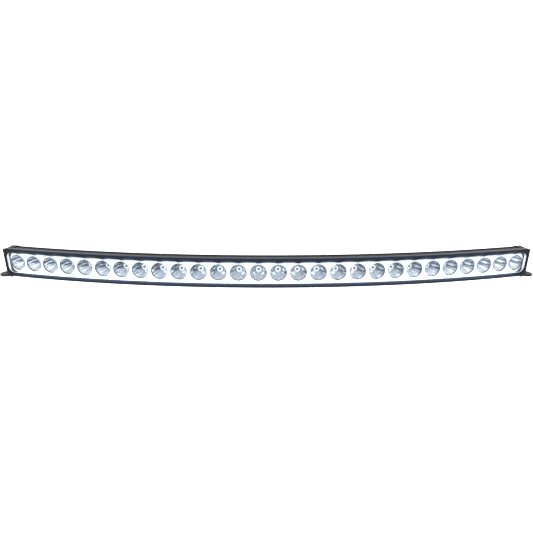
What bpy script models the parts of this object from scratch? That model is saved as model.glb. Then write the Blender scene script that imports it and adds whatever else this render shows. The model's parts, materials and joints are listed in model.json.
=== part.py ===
"""Curved LED light bar with a lit halo panel, on two tilting end brackets.

Frame: metres, +Z up. The bar faces -Y and bows towards -Y; its length runs along X.
The origin is on the plane that the two feet are bolted to, below the middle of the outline.
"""
import math

import bmesh
import bpy
from mathutils import Matrix, Vector

# ---- driving dimensions -------------------------------------------------------------------
LED_COUNT = 28
LED_PITCH = 0.0465              # along the bowed front
FRONT_RADIUS = 2.5              # plan radius of the bezel's front face
FACE_HALF_HEIGHT = 0.0352       # of the bezel, which stands a little proud of the housing
BAR_HALF_LENGTH = 0.659         # measured along the bowed front
GAP = 0.0003                    # clearance between pieces that touch

# depths below are measured inwards from the bezel's front face
BEZEL_DEPTH = 0.014
BEZEL_LIP = 0.003
BEZEL_HALF_LENGTH = 0.6604      # reaches a little past the end caps
BEZEL_EDGE = 0.001              # chamfer round the front
BEZEL_BEVEL = 0.003             # slope from the front down to the window
WINDOW_HALF_LENGTH = 0.6545
WINDOW_HALF_HEIGHT = 0.0254
WINDOW_CORNER = 0.014
REBATE_HALF_LENGTH = 0.6579
REBATE_HALF_HEIGHT = 0.0313
REBATE_CORNER = 0.012
FRONT_CORNER = 0.004

LENS_THICKNESS = 0.003
GASKET_THICKNESS = 0.002
GASKET_WIDTH = 0.0028
CARRIER_DEPTH = 0.005
CARRIER_WIDTH = 0.0017          # frame behind the gasket, round the halo guide and its strips

RIM_DEPTH = 0.007               # front of the reflector rims
REFLECTOR_RADIUS = 0.0197
REFLECTOR_DEPTH = 0.028
REFLECTOR_WALL = 0.0007
REFLECTOR_FLANGE = 0.0012
THROAT_RADIUS = 0.0075
GUIDE_FRONT = 0.0112            # set back, so the reflector rims stand out from it
GUIDE_THICKNESS = 0.003
GUIDE_HALF_HEIGHT = 0.027
GUIDE_CORNER = 0.022
GUIDE_HOLE_RADIUS = 0.0201
GUIDE_HALF_LENGTH = 0.651
STRIP_DEPTH = 0.0112
STRIP_WIDTH = 0.003
STRIP_THICKNESS = 0.0016
STRIP_HALF_LENGTH = 13.4 * LED_PITCH

BOARD_COUNT = 4
BOARD_FRONT = 0.0362
BOARD_THICKNESS = 0.0016
BOARD_HALF_HEIGHT = 0.014
CHIP_HALF_WIDTH = 0.0035
CHIP_HEIGHT = 0.001
BOARD_END = 0.648               # the outer boards reach into the end caps
# constant-current driver, above the reflectors: blocks are (centre, half length, height)
DRIVER_HALF_LENGTH = 0.060
DRIVER_LEVEL = 0.0252
DRIVER_SPAN = (0.0180, 0.0330)
DRIVER_BLOCK_SPAN = (0.0205, 0.0305)
DRIVER_BLOCKS = ((-0.035, 0.010, 0.0028), (0.0, 0.006, 0.0030), (0.03, 0.012, 0.0024))

HOUSING_FRONT = BEZEL_DEPTH + GAP
HOUSING_HALF_LENGTH = 0.640
HOUSING_HALF_HEIGHT = 0.0344
CAVITY_HALF_HEIGHT = 0.0304
CAVITY_BACK = 0.0381
CAVITY_CORNER = 0.006
WALL_BACK = 0.044
RAIL_FRONT = 0.025
RAIL_BACK = 0.0272
RAIL_TOP = 0.0368
SHOULDER_DEPTH = 0.034
SHOULDER_DROP = 0.0055
# fins of the heat sink on the back: centre height, thickness, depth of the tip
FINS = ((0.0, 0.0020, 0.080), (0.0064, 0.0018, 0.080), (0.0135, 0.0065, 0.075),
        (0.0208, 0.0018, 0.062), (0.0265, 0.0018, 0.049))
SCREW_DEPTH = 0.070
SCREW_HEIGHT = 0.0135
SCREW_PORT_RADIUS = 0.0023
SCREW_RECESS_RADIUS = 0.0039
SCREW_RECESS_DEPTH = 0.0022

CAP_GASKET_THICKNESS = 0.0015
CAP_START = HOUSING_HALF_LENGTH + CAP_GASKET_THICKNESS + 2 * GAP
CAP_END = BAR_HALF_LENGTH
CAP_WALL_START = 0.654
CAP_BACK = 0.0805
# outline of the upper half of an end cap: depth, height
CAP_SECTION = ((HOUSING_FRONT, 0.0349), (0.0255, 0.0368), (0.0310, 0.0368), (0.0400, 0.0318),
               (0.0560, 0.0246), (0.0700, 0.0197), (CAP_BACK, 0.0145))
CAP_GASKET_LIP = 0.0012         # the gasket's outline stays this far inside the housing's

# bracket: seen from the side, depths along Y from the middle of the bezel's front face
PIVOT_DEPTH = 0.1265
PIVOT_HEIGHT = 0.004            # above the middle of the face
FOOT_PLANE = -0.045             # underside of the feet, from the middle of the face
ARM_INNER = 0.6532
PLATE = 0.0045
ARM_HALF_WIDTH = 0.0225
ARM_TOP_RADIUS = 0.019
FOOT_RADIUS = 0.0205
FOOT_CENTRE = 0.674
FOOT_NECK_HALF_WIDTH = 0.0145
FOOT_SLOT_RADIUS = 0.0045
FOOT_SLOT_HALF_LENGTH = 0.0035
LOCK_RADIUS = 0.020
TILT_LIMIT = math.radians(20)
SLOT_MARGIN = math.radians(3)
LOCK_SLOT_HALF_WIDTH = 0.0036
PIVOT_HOLE_RADIUS = 0.0044
PAD_RADIUS = 0.012
PAD_FACE = ARM_INNER - GAP

# bolts: across-flats half width, head height, shank radius
PIVOT_BOLT = (0.0073, 0.0053, 0.0040)
LOCK_BOLT = (0.0057, 0.0040, 0.0030)
THREAD_LENGTH = 0.0095
TAPPED_DEPTH = 0.0105
THREAD_CLEARANCE = 0.0002
WASHER_RADIUS = 0.0085
WASHER_THICKNESS = 0.0016

GLAND_STATION = 0.588
GLAND_HOLE_RADIUS = 0.0063
VENT_STATION = 0.566
VENT_HOLE_RADIUS = 0.0033
# pocket cut in the fins for the gland and the vent
POCKET_START = 0.555
POCKET_END = 0.6005
POCKET_HALF_HEIGHT = 0.012
POCKET_FLOOR = 0.0435
POCKET_REACH = 0.090

# the gland's pocket keeps it inside the fins, so the end caps are the rearmost pieces
END_ANGLE = CAP_END / FRONT_RADIUS
OUTLINE_DEPTH = FRONT_RADIUS - (FRONT_RADIUS - CAP_BACK) * math.cos(END_ANGLE)
ORIGIN_DEPTH = OUTLINE_DEPTH / 2

TOOL_REACH = 0.002              # how far a cutting shape passes the faces it cuts
CORNER_STEPS = 5
COLUMN_LIMIT = LED_COUNT // 2 - 1
COLUMNS = [k * LED_PITCH for k in range(-COLUMN_LIMIT, COLUMN_LIMIT + 1)]


# ---- scene and materials ------------------------------------------------------------------
def clear_scene():
    for item in list(bpy.data.objects):
        bpy.data.objects.remove(item, do_unlink=True)


def material(name, colour, roughness, metallic=0.0, transmission=0.0, glow=0.0):
    made = bpy.data.materials.new(name)
    made.use_nodes = True
    shader = made.node_tree.nodes["Principled BSDF"]
    shader.inputs["Base Color"].default_value = (*colour, 1.0)
    shader.inputs["Roughness"].default_value = roughness
    shader.inputs["Metallic"].default_value = metallic
    shader.inputs["Transmission Weight"].default_value = transmission
    shader.inputs["Emission Color"].default_value = (*colour, 1.0)
    shader.inputs["Emission Strength"].default_value = glow
    made.diffuse_color = (*colour, 1.0)
    return made


clear_scene()
BLACK_COAT = material("black_powder_coat", (0.022, 0.023, 0.026), 0.45)
BEZEL_COAT = material("bezel_powder_coat", (0.030, 0.032, 0.037), 0.40)
CLEAR_LENS = material("clear_polycarbonate", (0.95, 0.97, 1.0), 0.03, transmission=1.0)
HALO_WHITE = material("halo_light_guide", (0.95, 0.97, 1.0), 0.5, glow=3.0)
CHROME = material("vacuum_chrome", (0.80, 0.83, 0.88), 0.06, metallic=1.0)
RUBBER = material("black_rubber", (0.012, 0.012, 0.012), 0.75)
BOARD_WHITE = material("white_solder_mask", (0.75, 0.76, 0.74), 0.45)
BOARD_GREEN = material("green_solder_mask", (0.02, 0.12, 0.05), 0.4)
STEEL = material("stainless_steel", (0.55, 0.55, 0.56), 0.3, metallic=1.0)
BLACK_PLASTIC = material("black_nylon", (0.015, 0.015, 0.016), 0.5)
BRACKET_COAT = material("bracket_powder_coat", (0.045, 0.045, 0.047), 0.55)


# ---- mesh helpers -------------------------------------------------------------------------
def place(station, depth, height):
    """Point at an arc length along the bowed front, a depth behind it and a height."""
    angle = station / FRONT_RADIUS
    reach = FRONT_RADIUS - depth
    return Vector((reach * math.sin(angle),
                   FRONT_RADIUS - reach * math.cos(angle) - ORIGIN_DEPTH,
                   height - FOOT_PLANE))


def straight(x, depth, height):
    """Point given by plain X, depth along Y from the front and height."""
    return Vector((x, depth - ORIGIN_DEPTH, height - FOOT_PLANE))


def local_frame(station, depth, height):
    """Matrix with X along the bar, Y to the back and Z up at a place on the bar."""
    turn = Matrix.Rotation(station / FRONT_RADIUS, 4, "Z")
    return Matrix.Translation(place(station, depth, height)) @ turn


def build(name, points, faces, finish, smooth=None):
    """Object from points and faces, with its faces turned outwards."""
    mesh = bpy.data.meshes.new(name)
    mesh.from_pydata([tuple(point) for point in points], [], faces)
    work = bmesh.new()
    work.from_mesh(mesh)
    bmesh.ops.recalc_face_normals(work, faces=work.faces)
    work.to_mesh(mesh)
    work.free()
    if smooth is not None:
        mesh.shade_smooth()
        mesh.set_sharp_from_angle(angle=smooth)
    if finish is not None:
        mesh.materials.append(finish)
    made = bpy.data.objects.new(name, mesh)
    bpy.context.scene.collection.objects.link(made)
    return made


def cutter(name, points, faces):
    """Hidden solid that a Boolean modifier subtracts or joins on."""
    made = build(name, points, faces, None)
    made.hide_render = True
    made.display_type = "WIRE"
    return made


def boolean(target, tool, operation="DIFFERENCE"):
    step = target.modifiers.new(operation.lower(), "BOOLEAN")
    step.operation = operation
    step.solver = "EXACT"
    step.object = tool


def joined(pieces):
    """Several point-and-face lists as one list."""
    points, faces = [], []
    for piece_points, piece_faces in pieces:
        start = len(points)
        points += piece_points
        faces += [[start + index for index in face] for face in piece_faces]
    return points, faces


def tube_faces(ring_count, ring_size, closed):
    """Quads between neighbouring rings, and from the last back to the first if closed."""
    faces = []
    for ring in range(ring_count if closed else ring_count - 1):
        after = (ring + 1) % ring_count
        for index in range(ring_size):
            following = (index + 1) % ring_size
            faces.append([ring * ring_size + index, ring * ring_size + following,
                          after * ring_size + following, after * ring_size + index])
    return faces


def sweep(section, stations):
    """Closed section of (depth, height) carried along stations of the bar."""
    points = [place(station, depth, height) for station in stations for depth, height in section]
    size = len(section)
    faces = tube_faces(len(stations), size, False)
    faces.append(list(range(size)))
    faces.append([len(points) - size + index for index in range(size)])
    return points, faces


def prism(outline, start, end):
    """Outline of vectors carried by two offsets along a direction."""
    points = [point + start for point in outline] + [point + end for point in outline]
    size = len(outline)
    faces = tube_faces(2, size, False)
    faces.append(list(range(size)))
    faces.append(list(range(size, 2 * size)))
    return points, faces


def circle(centre, radius, steps, across, up):
    """Ring of points in the plane of two directions."""
    turns = [2 * math.pi * step / steps for step in range(steps)]
    return [centre + across * radius * math.cos(turn) + up * radius * math.sin(turn)
            for turn in turns]


def rounded_ring(half_length, half_height, radius, depth):
    """Rounded rectangle on the bowed face: along the top, then back along the bottom."""
    corner = []
    for step in range(CORNER_STEPS + 1):
        turn = math.pi / 2 * step / CORNER_STEPS
        corner.append((half_length - radius + radius * math.cos(turn),
                       half_height - radius + radius * math.sin(turn)))
    top = [(-station, height) for station, height in corner]
    top += [(station, half_height) for station in COLUMNS]
    top += list(reversed(corner))
    bottom = [(station, -height) for station, height in reversed(top)]
    return [place(station, depth, height) for station, height in top + bottom]


def frame_loop(name, rings, finish):
    """Closed frame: rings joined one to the next and back to the first."""
    points = [point for ring in rings for point in ring]
    return build(name, points, tube_faces(len(rings), len(rings[0]), True), finish)


def plate(front_ring, back_ring):
    """Bowed plate between two like rings, each face filled in strips."""
    size = len(front_ring)
    half = size // 2
    faces = tube_faces(2, size, False)
    for start in (0, size):
        for index in range(half - 1):
            faces.append([start + index, start + index + 1,
                          start + size - 2 - index, start + size - 1 - index])
    return front_ring + back_ring, faces


def turned(profile, steps, frame):
    """Solid turned about the frame's Y axis from a closed profile of (radius, depth)."""
    points = []
    for step in range(steps):
        turn = 2 * math.pi * step / steps
        for radius, depth in profile:
            points.append(frame @ Vector((radius * math.cos(turn), depth, radius * math.sin(turn))))
    return points, tube_faces(steps, len(profile), True)


def stepped_rod(levels, steps, frame):
    """Solid rod along the frame's Y axis: (radius, depth) levels, closed by flat ends."""
    rings = [[frame @ Vector((radius * math.cos(2 * math.pi * step / steps), depth,
                              radius * math.sin(2 * math.pi * step / steps)))
              for step in range(steps)] for radius, depth in levels]
    points = [point for ring in rings for point in ring]
    faces = tube_faces(len(rings), steps, False)
    faces.append(list(range(steps)))
    faces.append([len(points) - steps + index for index in range(steps)])
    return points, faces


# ---- front: bezel, lens, gasket, carrier, halo panel ---------------------------------------
def make_bezel():
    window = (WINDOW_HALF_LENGTH, WINDOW_HALF_HEIGHT, WINDOW_CORNER)
    outer = (BEZEL_HALF_LENGTH, FACE_HALF_HEIGHT, FRONT_CORNER)
    rebate = (REBATE_HALF_LENGTH, REBATE_HALF_HEIGHT, REBATE_CORNER)
    rings = [
        rounded_ring(*[size + BEZEL_BEVEL for size in window], 0.0),
        rounded_ring(*[size - BEZEL_EDGE for size in outer], 0.0),
        rounded_ring(*outer, BEZEL_EDGE),
        rounded_ring(*outer, BEZEL_DEPTH),
        rounded_ring(*rebate, BEZEL_DEPTH),
        rounded_ring(*rebate, BEZEL_LIP),
        rounded_ring(*window, BEZEL_LIP),
        rounded_ring(*window, BEZEL_LIP - BEZEL_EDGE / 2),
    ]
    frame_loop("bezel_frame", rings, BEZEL_COAT)


def rebate_fit(inset, depth):
    """Ring that sits in the bezel's rebate, drawn in by an inset."""
    shrink = GAP + inset
    return rounded_ring(REBATE_HALF_LENGTH - shrink, REBATE_HALF_HEIGHT - shrink,
                        REBATE_CORNER - shrink, depth)


def make_rebate_frame(name, front, back, width, finish):
    rings = [rebate_fit(0.0, front), rebate_fit(0.0, back), rebate_fit(width, back),
             rebate_fit(width, front)]
    frame_loop(name, rings, finish)


def make_front():
    make_bezel()
    lens_front = BEZEL_LIP + GAP
    lens_back = lens_front + LENS_THICKNESS
    build("lens", *plate(rebate_fit(0.0, lens_front), rebate_fit(0.0, lens_back)), CLEAR_LENS)
    gasket_front = lens_back + GAP
    gasket_back = gasket_front + GASKET_THICKNESS
    make_rebate_frame("lens_gasket", gasket_front, gasket_back, GASKET_WIDTH, RUBBER)
    carrier_front = gasket_back + GAP
    make_rebate_frame("guide_carrier", carrier_front, carrier_front + CARRIER_DEPTH,
                      CARRIER_WIDTH, BLACK_PLASTIC)


def led_stations():
    return [(index - (LED_COUNT - 1) / 2) * LED_PITCH for index in range(LED_COUNT)]


def make_halo_guide():
    outline = (GUIDE_HALF_LENGTH, GUIDE_HALF_HEIGHT, GUIDE_CORNER)
    back = GUIDE_FRONT + GUIDE_THICKNESS
    guide = build("halo_guide", *plate(rounded_ring(*outline, GUIDE_FRONT),
                                       rounded_ring(*outline, back)), HALO_WHITE)
    levels = ((GUIDE_HOLE_RADIUS, GUIDE_FRONT - TOOL_REACH),
              (GUIDE_HOLE_RADIUS, back + TOOL_REACH))
    holes = [stepped_rod(levels, 12, local_frame(station, 0.0, 0.0))
             for station in led_stations()]
    boolean(guide, cutter("guide_holes", *joined(holes)))


def make_halo_strips():
    """Strip boards whose small white LEDs shine into the guide's two long edges."""
    height = GUIDE_HALF_HEIGHT + GAP
    stations = [-STRIP_HALF_LENGTH] + COLUMNS + [STRIP_HALF_LENGTH]
    for name, side in (("halo_strip_upper", 1), ("halo_strip_lower", -1)):
        section = [(STRIP_DEPTH, side * height), (STRIP_DEPTH + STRIP_WIDTH, side * height),
                   (STRIP_DEPTH + STRIP_WIDTH, side * (height + STRIP_THICKNESS)),
                   (STRIP_DEPTH, side * (height + STRIP_THICKNESS))]
        build(name, *sweep(section, stations), BOARD_WHITE)


# ---- optics: reflectors and LED boards -----------------------------------------------------
def reflector_profile():
    """Closed wall of a parabolic cup, from the rim to the throat and back outside."""
    bowl = REFLECTOR_RADIUS - REFLECTOR_WALL / 2
    inner = []
    for fraction in (0.0, 0.6, 1.0):
        spread = THROAT_RADIUS ** 2 + (bowl ** 2 - THROAT_RADIUS ** 2) * (1 - fraction)
        inner.append((math.sqrt(spread), RIM_DEPTH + REFLECTOR_DEPTH * fraction))
    outer = [(radius + REFLECTOR_WALL, depth) for radius, depth in reversed(inner[1:])]
    rim = [(REFLECTOR_RADIUS, RIM_DEPTH + REFLECTOR_FLANGE), (REFLECTOR_RADIUS, RIM_DEPTH)]
    return inner + outer + rim


def make_reflectors():
    profile = reflector_profile()
    for number, station in enumerate(led_stations(), start=1):
        points, faces = turned(profile, 12, local_frame(station, 0.0, 0.0))
        build(f"reflector_{number:02d}", points, faces, CHROME, smooth=math.radians(35))


def chip_blocks(stations):
    """Square LED packages standing on the board, sunk a little for a clean joint."""
    blocks = []
    for station in stations:
        frame = local_frame(station, BOARD_FRONT, 0.0)
        corners = [frame @ Vector((x, 0, z)) for x, z in
                   ((-CHIP_HALF_WIDTH, -CHIP_HALF_WIDTH), (CHIP_HALF_WIDTH, -CHIP_HALF_WIDTH),
                    (CHIP_HALF_WIDTH, CHIP_HALF_WIDTH), (-CHIP_HALF_WIDTH, CHIP_HALF_WIDTH))]
        back = frame.to_3x3() @ Vector((0, 1, 0))
        blocks.append(prism(corners, -CHIP_HEIGHT * back, BOARD_THICKNESS / 2 * back))
    return joined(blocks)


def make_led_boards():
    per_board = LED_COUNT // BOARD_COUNT
    section = [(BOARD_FRONT, -BOARD_HALF_HEIGHT), (BOARD_FRONT, BOARD_HALF_HEIGHT),
               (BOARD_FRONT + BOARD_THICKNESS, BOARD_HALF_HEIGHT),
               (BOARD_FRONT + BOARD_THICKNESS, -BOARD_HALF_HEIGHT)]
    chips = led_stations()
    for number in range(BOARD_COUNT):
        first = number * per_board - LED_COUNT // 2
        marks = [(first + step) * LED_PITCH for step in range(per_board + 1)]
        marks[0] = max(marks[0] + GAP, -BOARD_END)
        marks[-1] = min(marks[-1] - GAP, BOARD_END)
        board = build(f"led_board_{number + 1}", *sweep(section, marks), BOARD_WHITE)
        own = chips[number * per_board:(number + 1) * per_board]
        boolean(board, cutter(f"led_chips_{number + 1}", *chip_blocks(own)), "UNION")


def make_driver():
    """Constant-current driver board in the space above the cups, with its coil and chips."""
    def rectangle(span, low, high):
        return [(span[0], low), (span[1], low), (span[1], high), (span[0], high)]

    section = rectangle(DRIVER_SPAN, DRIVER_LEVEL, DRIVER_LEVEL + BOARD_THICKNESS)
    stations = (-DRIVER_HALF_LENGTH, 0.0, DRIVER_HALF_LENGTH)
    board = build("driver_board", *sweep(section, stations), BOARD_GREEN)
    sunk = DRIVER_LEVEL + BOARD_THICKNESS / 2
    blocks = [sweep(rectangle(DRIVER_BLOCK_SPAN, sunk, DRIVER_LEVEL + height),
                    (centre - half_length, centre + half_length))
              for centre, half_length, height in DRIVER_BLOCKS]
    boolean(board, cutter("driver_parts", *joined(blocks)), "UNION")


# ---- housing -------------------------------------------------------------------------------
def mirrored(section):
    """Section given for its upper half, closed by the same points below."""
    return list(section) + [(depth, -height) for depth, height in reversed(section)]


def cavity_section(front):
    """Upper half of the channel inside, from a depth at the front to the back wall."""
    return ((front, CAVITY_HALF_HEIGHT), (CAVITY_BACK - CAVITY_CORNER, CAVITY_HALF_HEIGHT),
            (CAVITY_BACK, CAVITY_HALF_HEIGHT - CAVITY_CORNER))


def housing_section():
    """Channel open at the front, with a rail on top and fins on the back."""
    fins = sorted({(side * height, thickness, tip) for height, thickness, tip in FINS
                   for side in (1, -1)}, reverse=True)
    outside = [(HOUSING_FRONT, HOUSING_HALF_HEIGHT), (RAIL_FRONT, HOUSING_HALF_HEIGHT),
               (RAIL_FRONT, RAIL_TOP), (RAIL_BACK, RAIL_TOP), (RAIL_BACK, HOUSING_HALF_HEIGHT),
               (SHOULDER_DEPTH, HOUSING_HALF_HEIGHT), (WALL_BACK, HOUSING_HALF_HEIGHT - SHOULDER_DROP)]
    comb = []
    for height, thickness, tip in fins:
        top = height + thickness / 2
        bottom = height - thickness / 2
        comb += [(WALL_BACK, top), (tip, top), (tip, bottom), (WALL_BACK, bottom)]
    below = [(WALL_BACK, SHOULDER_DROP - HOUSING_HALF_HEIGHT), (SHOULDER_DEPTH, -HOUSING_HALF_HEIGHT),
             (HOUSING_FRONT, -HOUSING_HALF_HEIGHT)]
    cavity = mirrored(cavity_section(HOUSING_FRONT))
    return outside + comb + below + list(reversed(cavity))


def cap_screw_frame(side, height):
    """Frame whose Y axis runs inwards along the bar from an end cap's outer face."""
    turn = Matrix.Rotation(side * END_ANGLE, 4, "Z")
    inwards = Matrix.Rotation(math.radians(90) * side, 4, "Z")
    return Matrix.Translation(place(side * CAP_END, SCREW_DEPTH, height)) @ turn @ inwards


def make_housing():
    stations = [-HOUSING_HALF_LENGTH] + COLUMNS + [HOUSING_HALF_LENGTH]
    housing = build("housing", *sweep(housing_section(), stations), BLACK_COAT)
    box = mirrored(((POCKET_FLOOR, POCKET_HALF_HEIGHT), (POCKET_REACH, POCKET_HALF_HEIGHT)))
    boolean(housing, cutter("rear_pocket", *sweep(box, (POCKET_START, POCKET_END))))
    holes = []
    for station, radius in ((GLAND_STATION, GLAND_HOLE_RADIUS), (VENT_STATION, VENT_HOLE_RADIUS)):
        levels = ((radius, CAVITY_BACK - TOOL_REACH), (radius, POCKET_FLOOR + TOOL_REACH))
        holes.append(stepped_rod(levels, 16, local_frame(station, 0.0, 0.0)))
    boolean(housing, cutter("wall_holes", *joined(holes)))
    levels = ((SCREW_PORT_RADIUS, 0.010), (SCREW_PORT_RADIUS, 0.034))
    ports = [stepped_rod(levels, 12, cap_screw_frame(side, height))
             for side in (-1, 1) for height in (-SCREW_HEIGHT, SCREW_HEIGHT)]
    boolean(housing, cutter("screw_ports", *joined(ports)))


# ---- end caps ------------------------------------------------------------------------------
def pad_outline(x_of_depth):
    """Upright oblong round the pivot and the lock bolt, on a face given by X at a depth."""
    outline = []
    steps = 8
    for centre, start in ((PIVOT_HEIGHT, 0.0), (PIVOT_HEIGHT - LOCK_RADIUS, math.pi)):
        for step in range(steps + 1):
            turn = start + math.pi * step / steps
            depth = PIVOT_DEPTH + PAD_RADIUS * math.cos(turn)
            outline.append(straight(x_of_depth(depth), depth, centre + PAD_RADIUS * math.sin(turn)))
    return outline


def make_end_cap(side):
    label = "right" if side > 0 else "left"
    solid = sweep(mirrored(CAP_SECTION), (side * CAP_START, side * CAP_END))
    cap = build(f"end_cap_{label}", *solid, BLACK_COAT)
    root_angle = (CAP_END - TOOL_REACH) / FRONT_RADIUS
    outer_face = pad_outline(lambda depth: side * PAD_FACE)
    inner_face = pad_outline(lambda depth: side * (FRONT_RADIUS - depth) * math.tan(root_angle))
    size = len(outer_face)
    faces = tube_faces(2, size, False) + [list(range(size)), list(range(size, 2 * size))]
    boolean(cap, cutter(f"pivot_pad_{label}", outer_face + inner_face, faces), "UNION")
    hollow = mirrored(cavity_section(HOUSING_FRONT - TOOL_REACH))
    hollow_solid = sweep(hollow, (side * (CAP_START - TOOL_REACH), side * CAP_WALL_START))
    boolean(cap, cutter(f"cap_hollow_{label}", *hollow_solid))
    levels = ((SCREW_RECESS_RADIUS, -TOOL_REACH), (SCREW_RECESS_RADIUS, SCREW_RECESS_DEPTH),
              (SCREW_PORT_RADIUS, SCREW_RECESS_DEPTH), (SCREW_PORT_RADIUS, 0.020))
    holes = [stepped_rod(levels, 12, cap_screw_frame(side, height))
             for height in (-SCREW_HEIGHT, SCREW_HEIGHT)]
    for height, bolt in ((PIVOT_HEIGHT, PIVOT_BOLT), (PIVOT_HEIGHT - LOCK_RADIUS, LOCK_BOLT)):
        radius = bolt[2] + THREAD_CLEARANCE
        holes.append(stepped_rod(((radius, -TOOL_REACH), (radius, TAPPED_DEPTH)), 12,
                                 bolt_frame(side, PAD_FACE, height)))
    boolean(cap, cutter(f"cap_holes_{label}", *joined(holes)))


def make_cap_gasket(side):
    label = "right" if side > 0 else "left"
    lip = CAP_GASKET_LIP
    outer = [(HOUSING_FRONT + lip, HOUSING_HALF_HEIGHT - lip),
             (SHOULDER_DEPTH, HOUSING_HALF_HEIGHT - lip),
             (WALL_BACK - lip, HOUSING_HALF_HEIGHT - SHOULDER_DROP - lip)]
    inner = [(HOUSING_FRONT + lip, CAVITY_HALF_HEIGHT + lip / 2),
             (CAVITY_BACK - CAVITY_CORNER, CAVITY_HALF_HEIGHT + lip / 2),
             (CAVITY_BACK + lip / 2, CAVITY_HALF_HEIGHT - CAVITY_CORNER)]
    section = mirrored(outer) + list(reversed(mirrored(inner)))
    start = HOUSING_HALF_LENGTH + GAP
    body = sweep(section, (side * start, side * (start + CAP_GASKET_THICKNESS)))
    build(f"cap_gasket_{label}", *body, RUBBER)


def make_cap_screws():
    """Pan-head screws through the end caps into the ports in the housing's thick fins."""
    levels = ((0.0034, 0.0), (0.0036, 0.0006), (0.0036, 0.0019), (0.0020, 0.0019), (0.0020, 0.032))
    for side, label in ((-1, "left"), (1, "right")):
        for height, level in ((SCREW_HEIGHT, "upper"), (-SCREW_HEIGHT, "lower")):
            points, faces = stepped_rod(levels, 12, cap_screw_frame(side, height))
            build(f"cap_screw_{label}_{level}", points, faces, STEEL, smooth=math.radians(35))


# ---- brackets and their bolts --------------------------------------------------------------
def bolt_frame(side, x, height):
    """Frame whose Y axis points inwards from a bracket, at the pivot's depth."""
    inwards = Matrix.Rotation(math.radians(90) * side, 4, "Z")
    return Matrix.Translation(straight(side * x, PIVOT_DEPTH, height)) @ inwards


def arm_outline(x):
    """Upright arm: round at the top about the pivot, widening to the foot."""
    outline = []
    steps = 12
    for step in range(steps + 1):
        turn = math.pi * step / steps
        outline.append(straight(x, PIVOT_DEPTH + ARM_TOP_RADIUS * math.cos(turn),
                                PIVOT_HEIGHT + ARM_TOP_RADIUS * math.sin(turn)))
    outline.append(straight(x, PIVOT_DEPTH - ARM_HALF_WIDTH, FOOT_PLANE + 0.014))
    outline.append(straight(x, PIVOT_DEPTH - ARM_HALF_WIDTH, FOOT_PLANE + 0.001))
    outline.append(straight(x, PIVOT_DEPTH - ARM_HALF_WIDTH + 0.001, FOOT_PLANE))
    outline.append(straight(x, PIVOT_DEPTH + ARM_HALF_WIDTH - 0.001, FOOT_PLANE))
    outline.append(straight(x, PIVOT_DEPTH + ARM_HALF_WIDTH, FOOT_PLANE + 0.001))
    outline.append(straight(x, PIVOT_DEPTH + ARM_HALF_WIDTH, FOOT_PLANE + 0.014))
    return outline


def foot_outline(side, height):
    """Round ear that points outwards, joined to the arm by a neck."""
    neck_x = ARM_INNER + PLATE / 2
    steps = 16
    outline = [straight(side * neck_x, PIVOT_DEPTH + FOOT_NECK_HALF_WIDTH, height)]
    first = math.asin(FOOT_NECK_HALF_WIDTH / FOOT_RADIUS)
    for step in range(steps + 1):
        turn = math.pi - first - (2 * math.pi - 2 * first) * step / steps
        outline.append(straight(side * (FOOT_CENTRE + FOOT_RADIUS * math.cos(turn)),
                                PIVOT_DEPTH + FOOT_RADIUS * math.sin(turn), height))
    outline.append(straight(side * neck_x, PIVOT_DEPTH - FOOT_NECK_HALF_WIDTH, height))
    return outline


def lock_slot(side):
    """Curved slot about the pivot that the lock bolt travels in."""
    span = TILT_LIMIT + SLOT_MARGIN
    steps = 8
    outline = []
    for edge, direction in ((LOCK_SLOT_HALF_WIDTH, 1), (-LOCK_SLOT_HALF_WIDTH, -1)):
        for step in range(steps + 1):
            turn = direction * (-span + 2 * span * step / steps)
            reach = LOCK_RADIUS + edge
            outline.append(straight(side * (ARM_INNER - TOOL_REACH),
                                    PIVOT_DEPTH + reach * math.sin(turn),
                                    PIVOT_HEIGHT - reach * math.cos(turn)))
        end_turn = direction * span
        end = (PIVOT_DEPTH + LOCK_RADIUS * math.sin(end_turn),
               PIVOT_HEIGHT - LOCK_RADIUS * math.cos(end_turn))
        for step in (1, 2, 3):
            round_turn = math.pi * step / 4
            along = LOCK_SLOT_HALF_WIDTH * math.sin(round_turn) * direction
            across = LOCK_SLOT_HALF_WIDTH * math.cos(round_turn) * direction
            outline.append(straight(side * (ARM_INNER - TOOL_REACH),
                                    end[0] + along * math.cos(end_turn) + across * math.sin(end_turn),
                                    end[1] + along * math.sin(end_turn) - across * math.cos(end_turn)))
    through = Vector((side * (PLATE + 2 * TOOL_REACH), 0, 0))
    return prism(outline, Vector((0, 0, 0)), through)


def foot_slot(side):
    """Oblong hole in the foot for the fixing bolt, long across the bar."""
    outline = []
    for shift, start in ((FOOT_SLOT_HALF_LENGTH, -math.pi / 2), (-FOOT_SLOT_HALF_LENGTH, math.pi / 2)):
        for step in range(7):
            turn = start + math.pi * step / 6
            outline.append(straight(side * FOOT_CENTRE + shift + FOOT_SLOT_RADIUS * math.cos(turn),
                                    PIVOT_DEPTH + FOOT_SLOT_RADIUS * math.sin(turn),
                                    FOOT_PLANE - TOOL_REACH))
    return prism(outline, Vector((0, 0, 0)), Vector((0, 0, PLATE + 2 * TOOL_REACH)))


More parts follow.
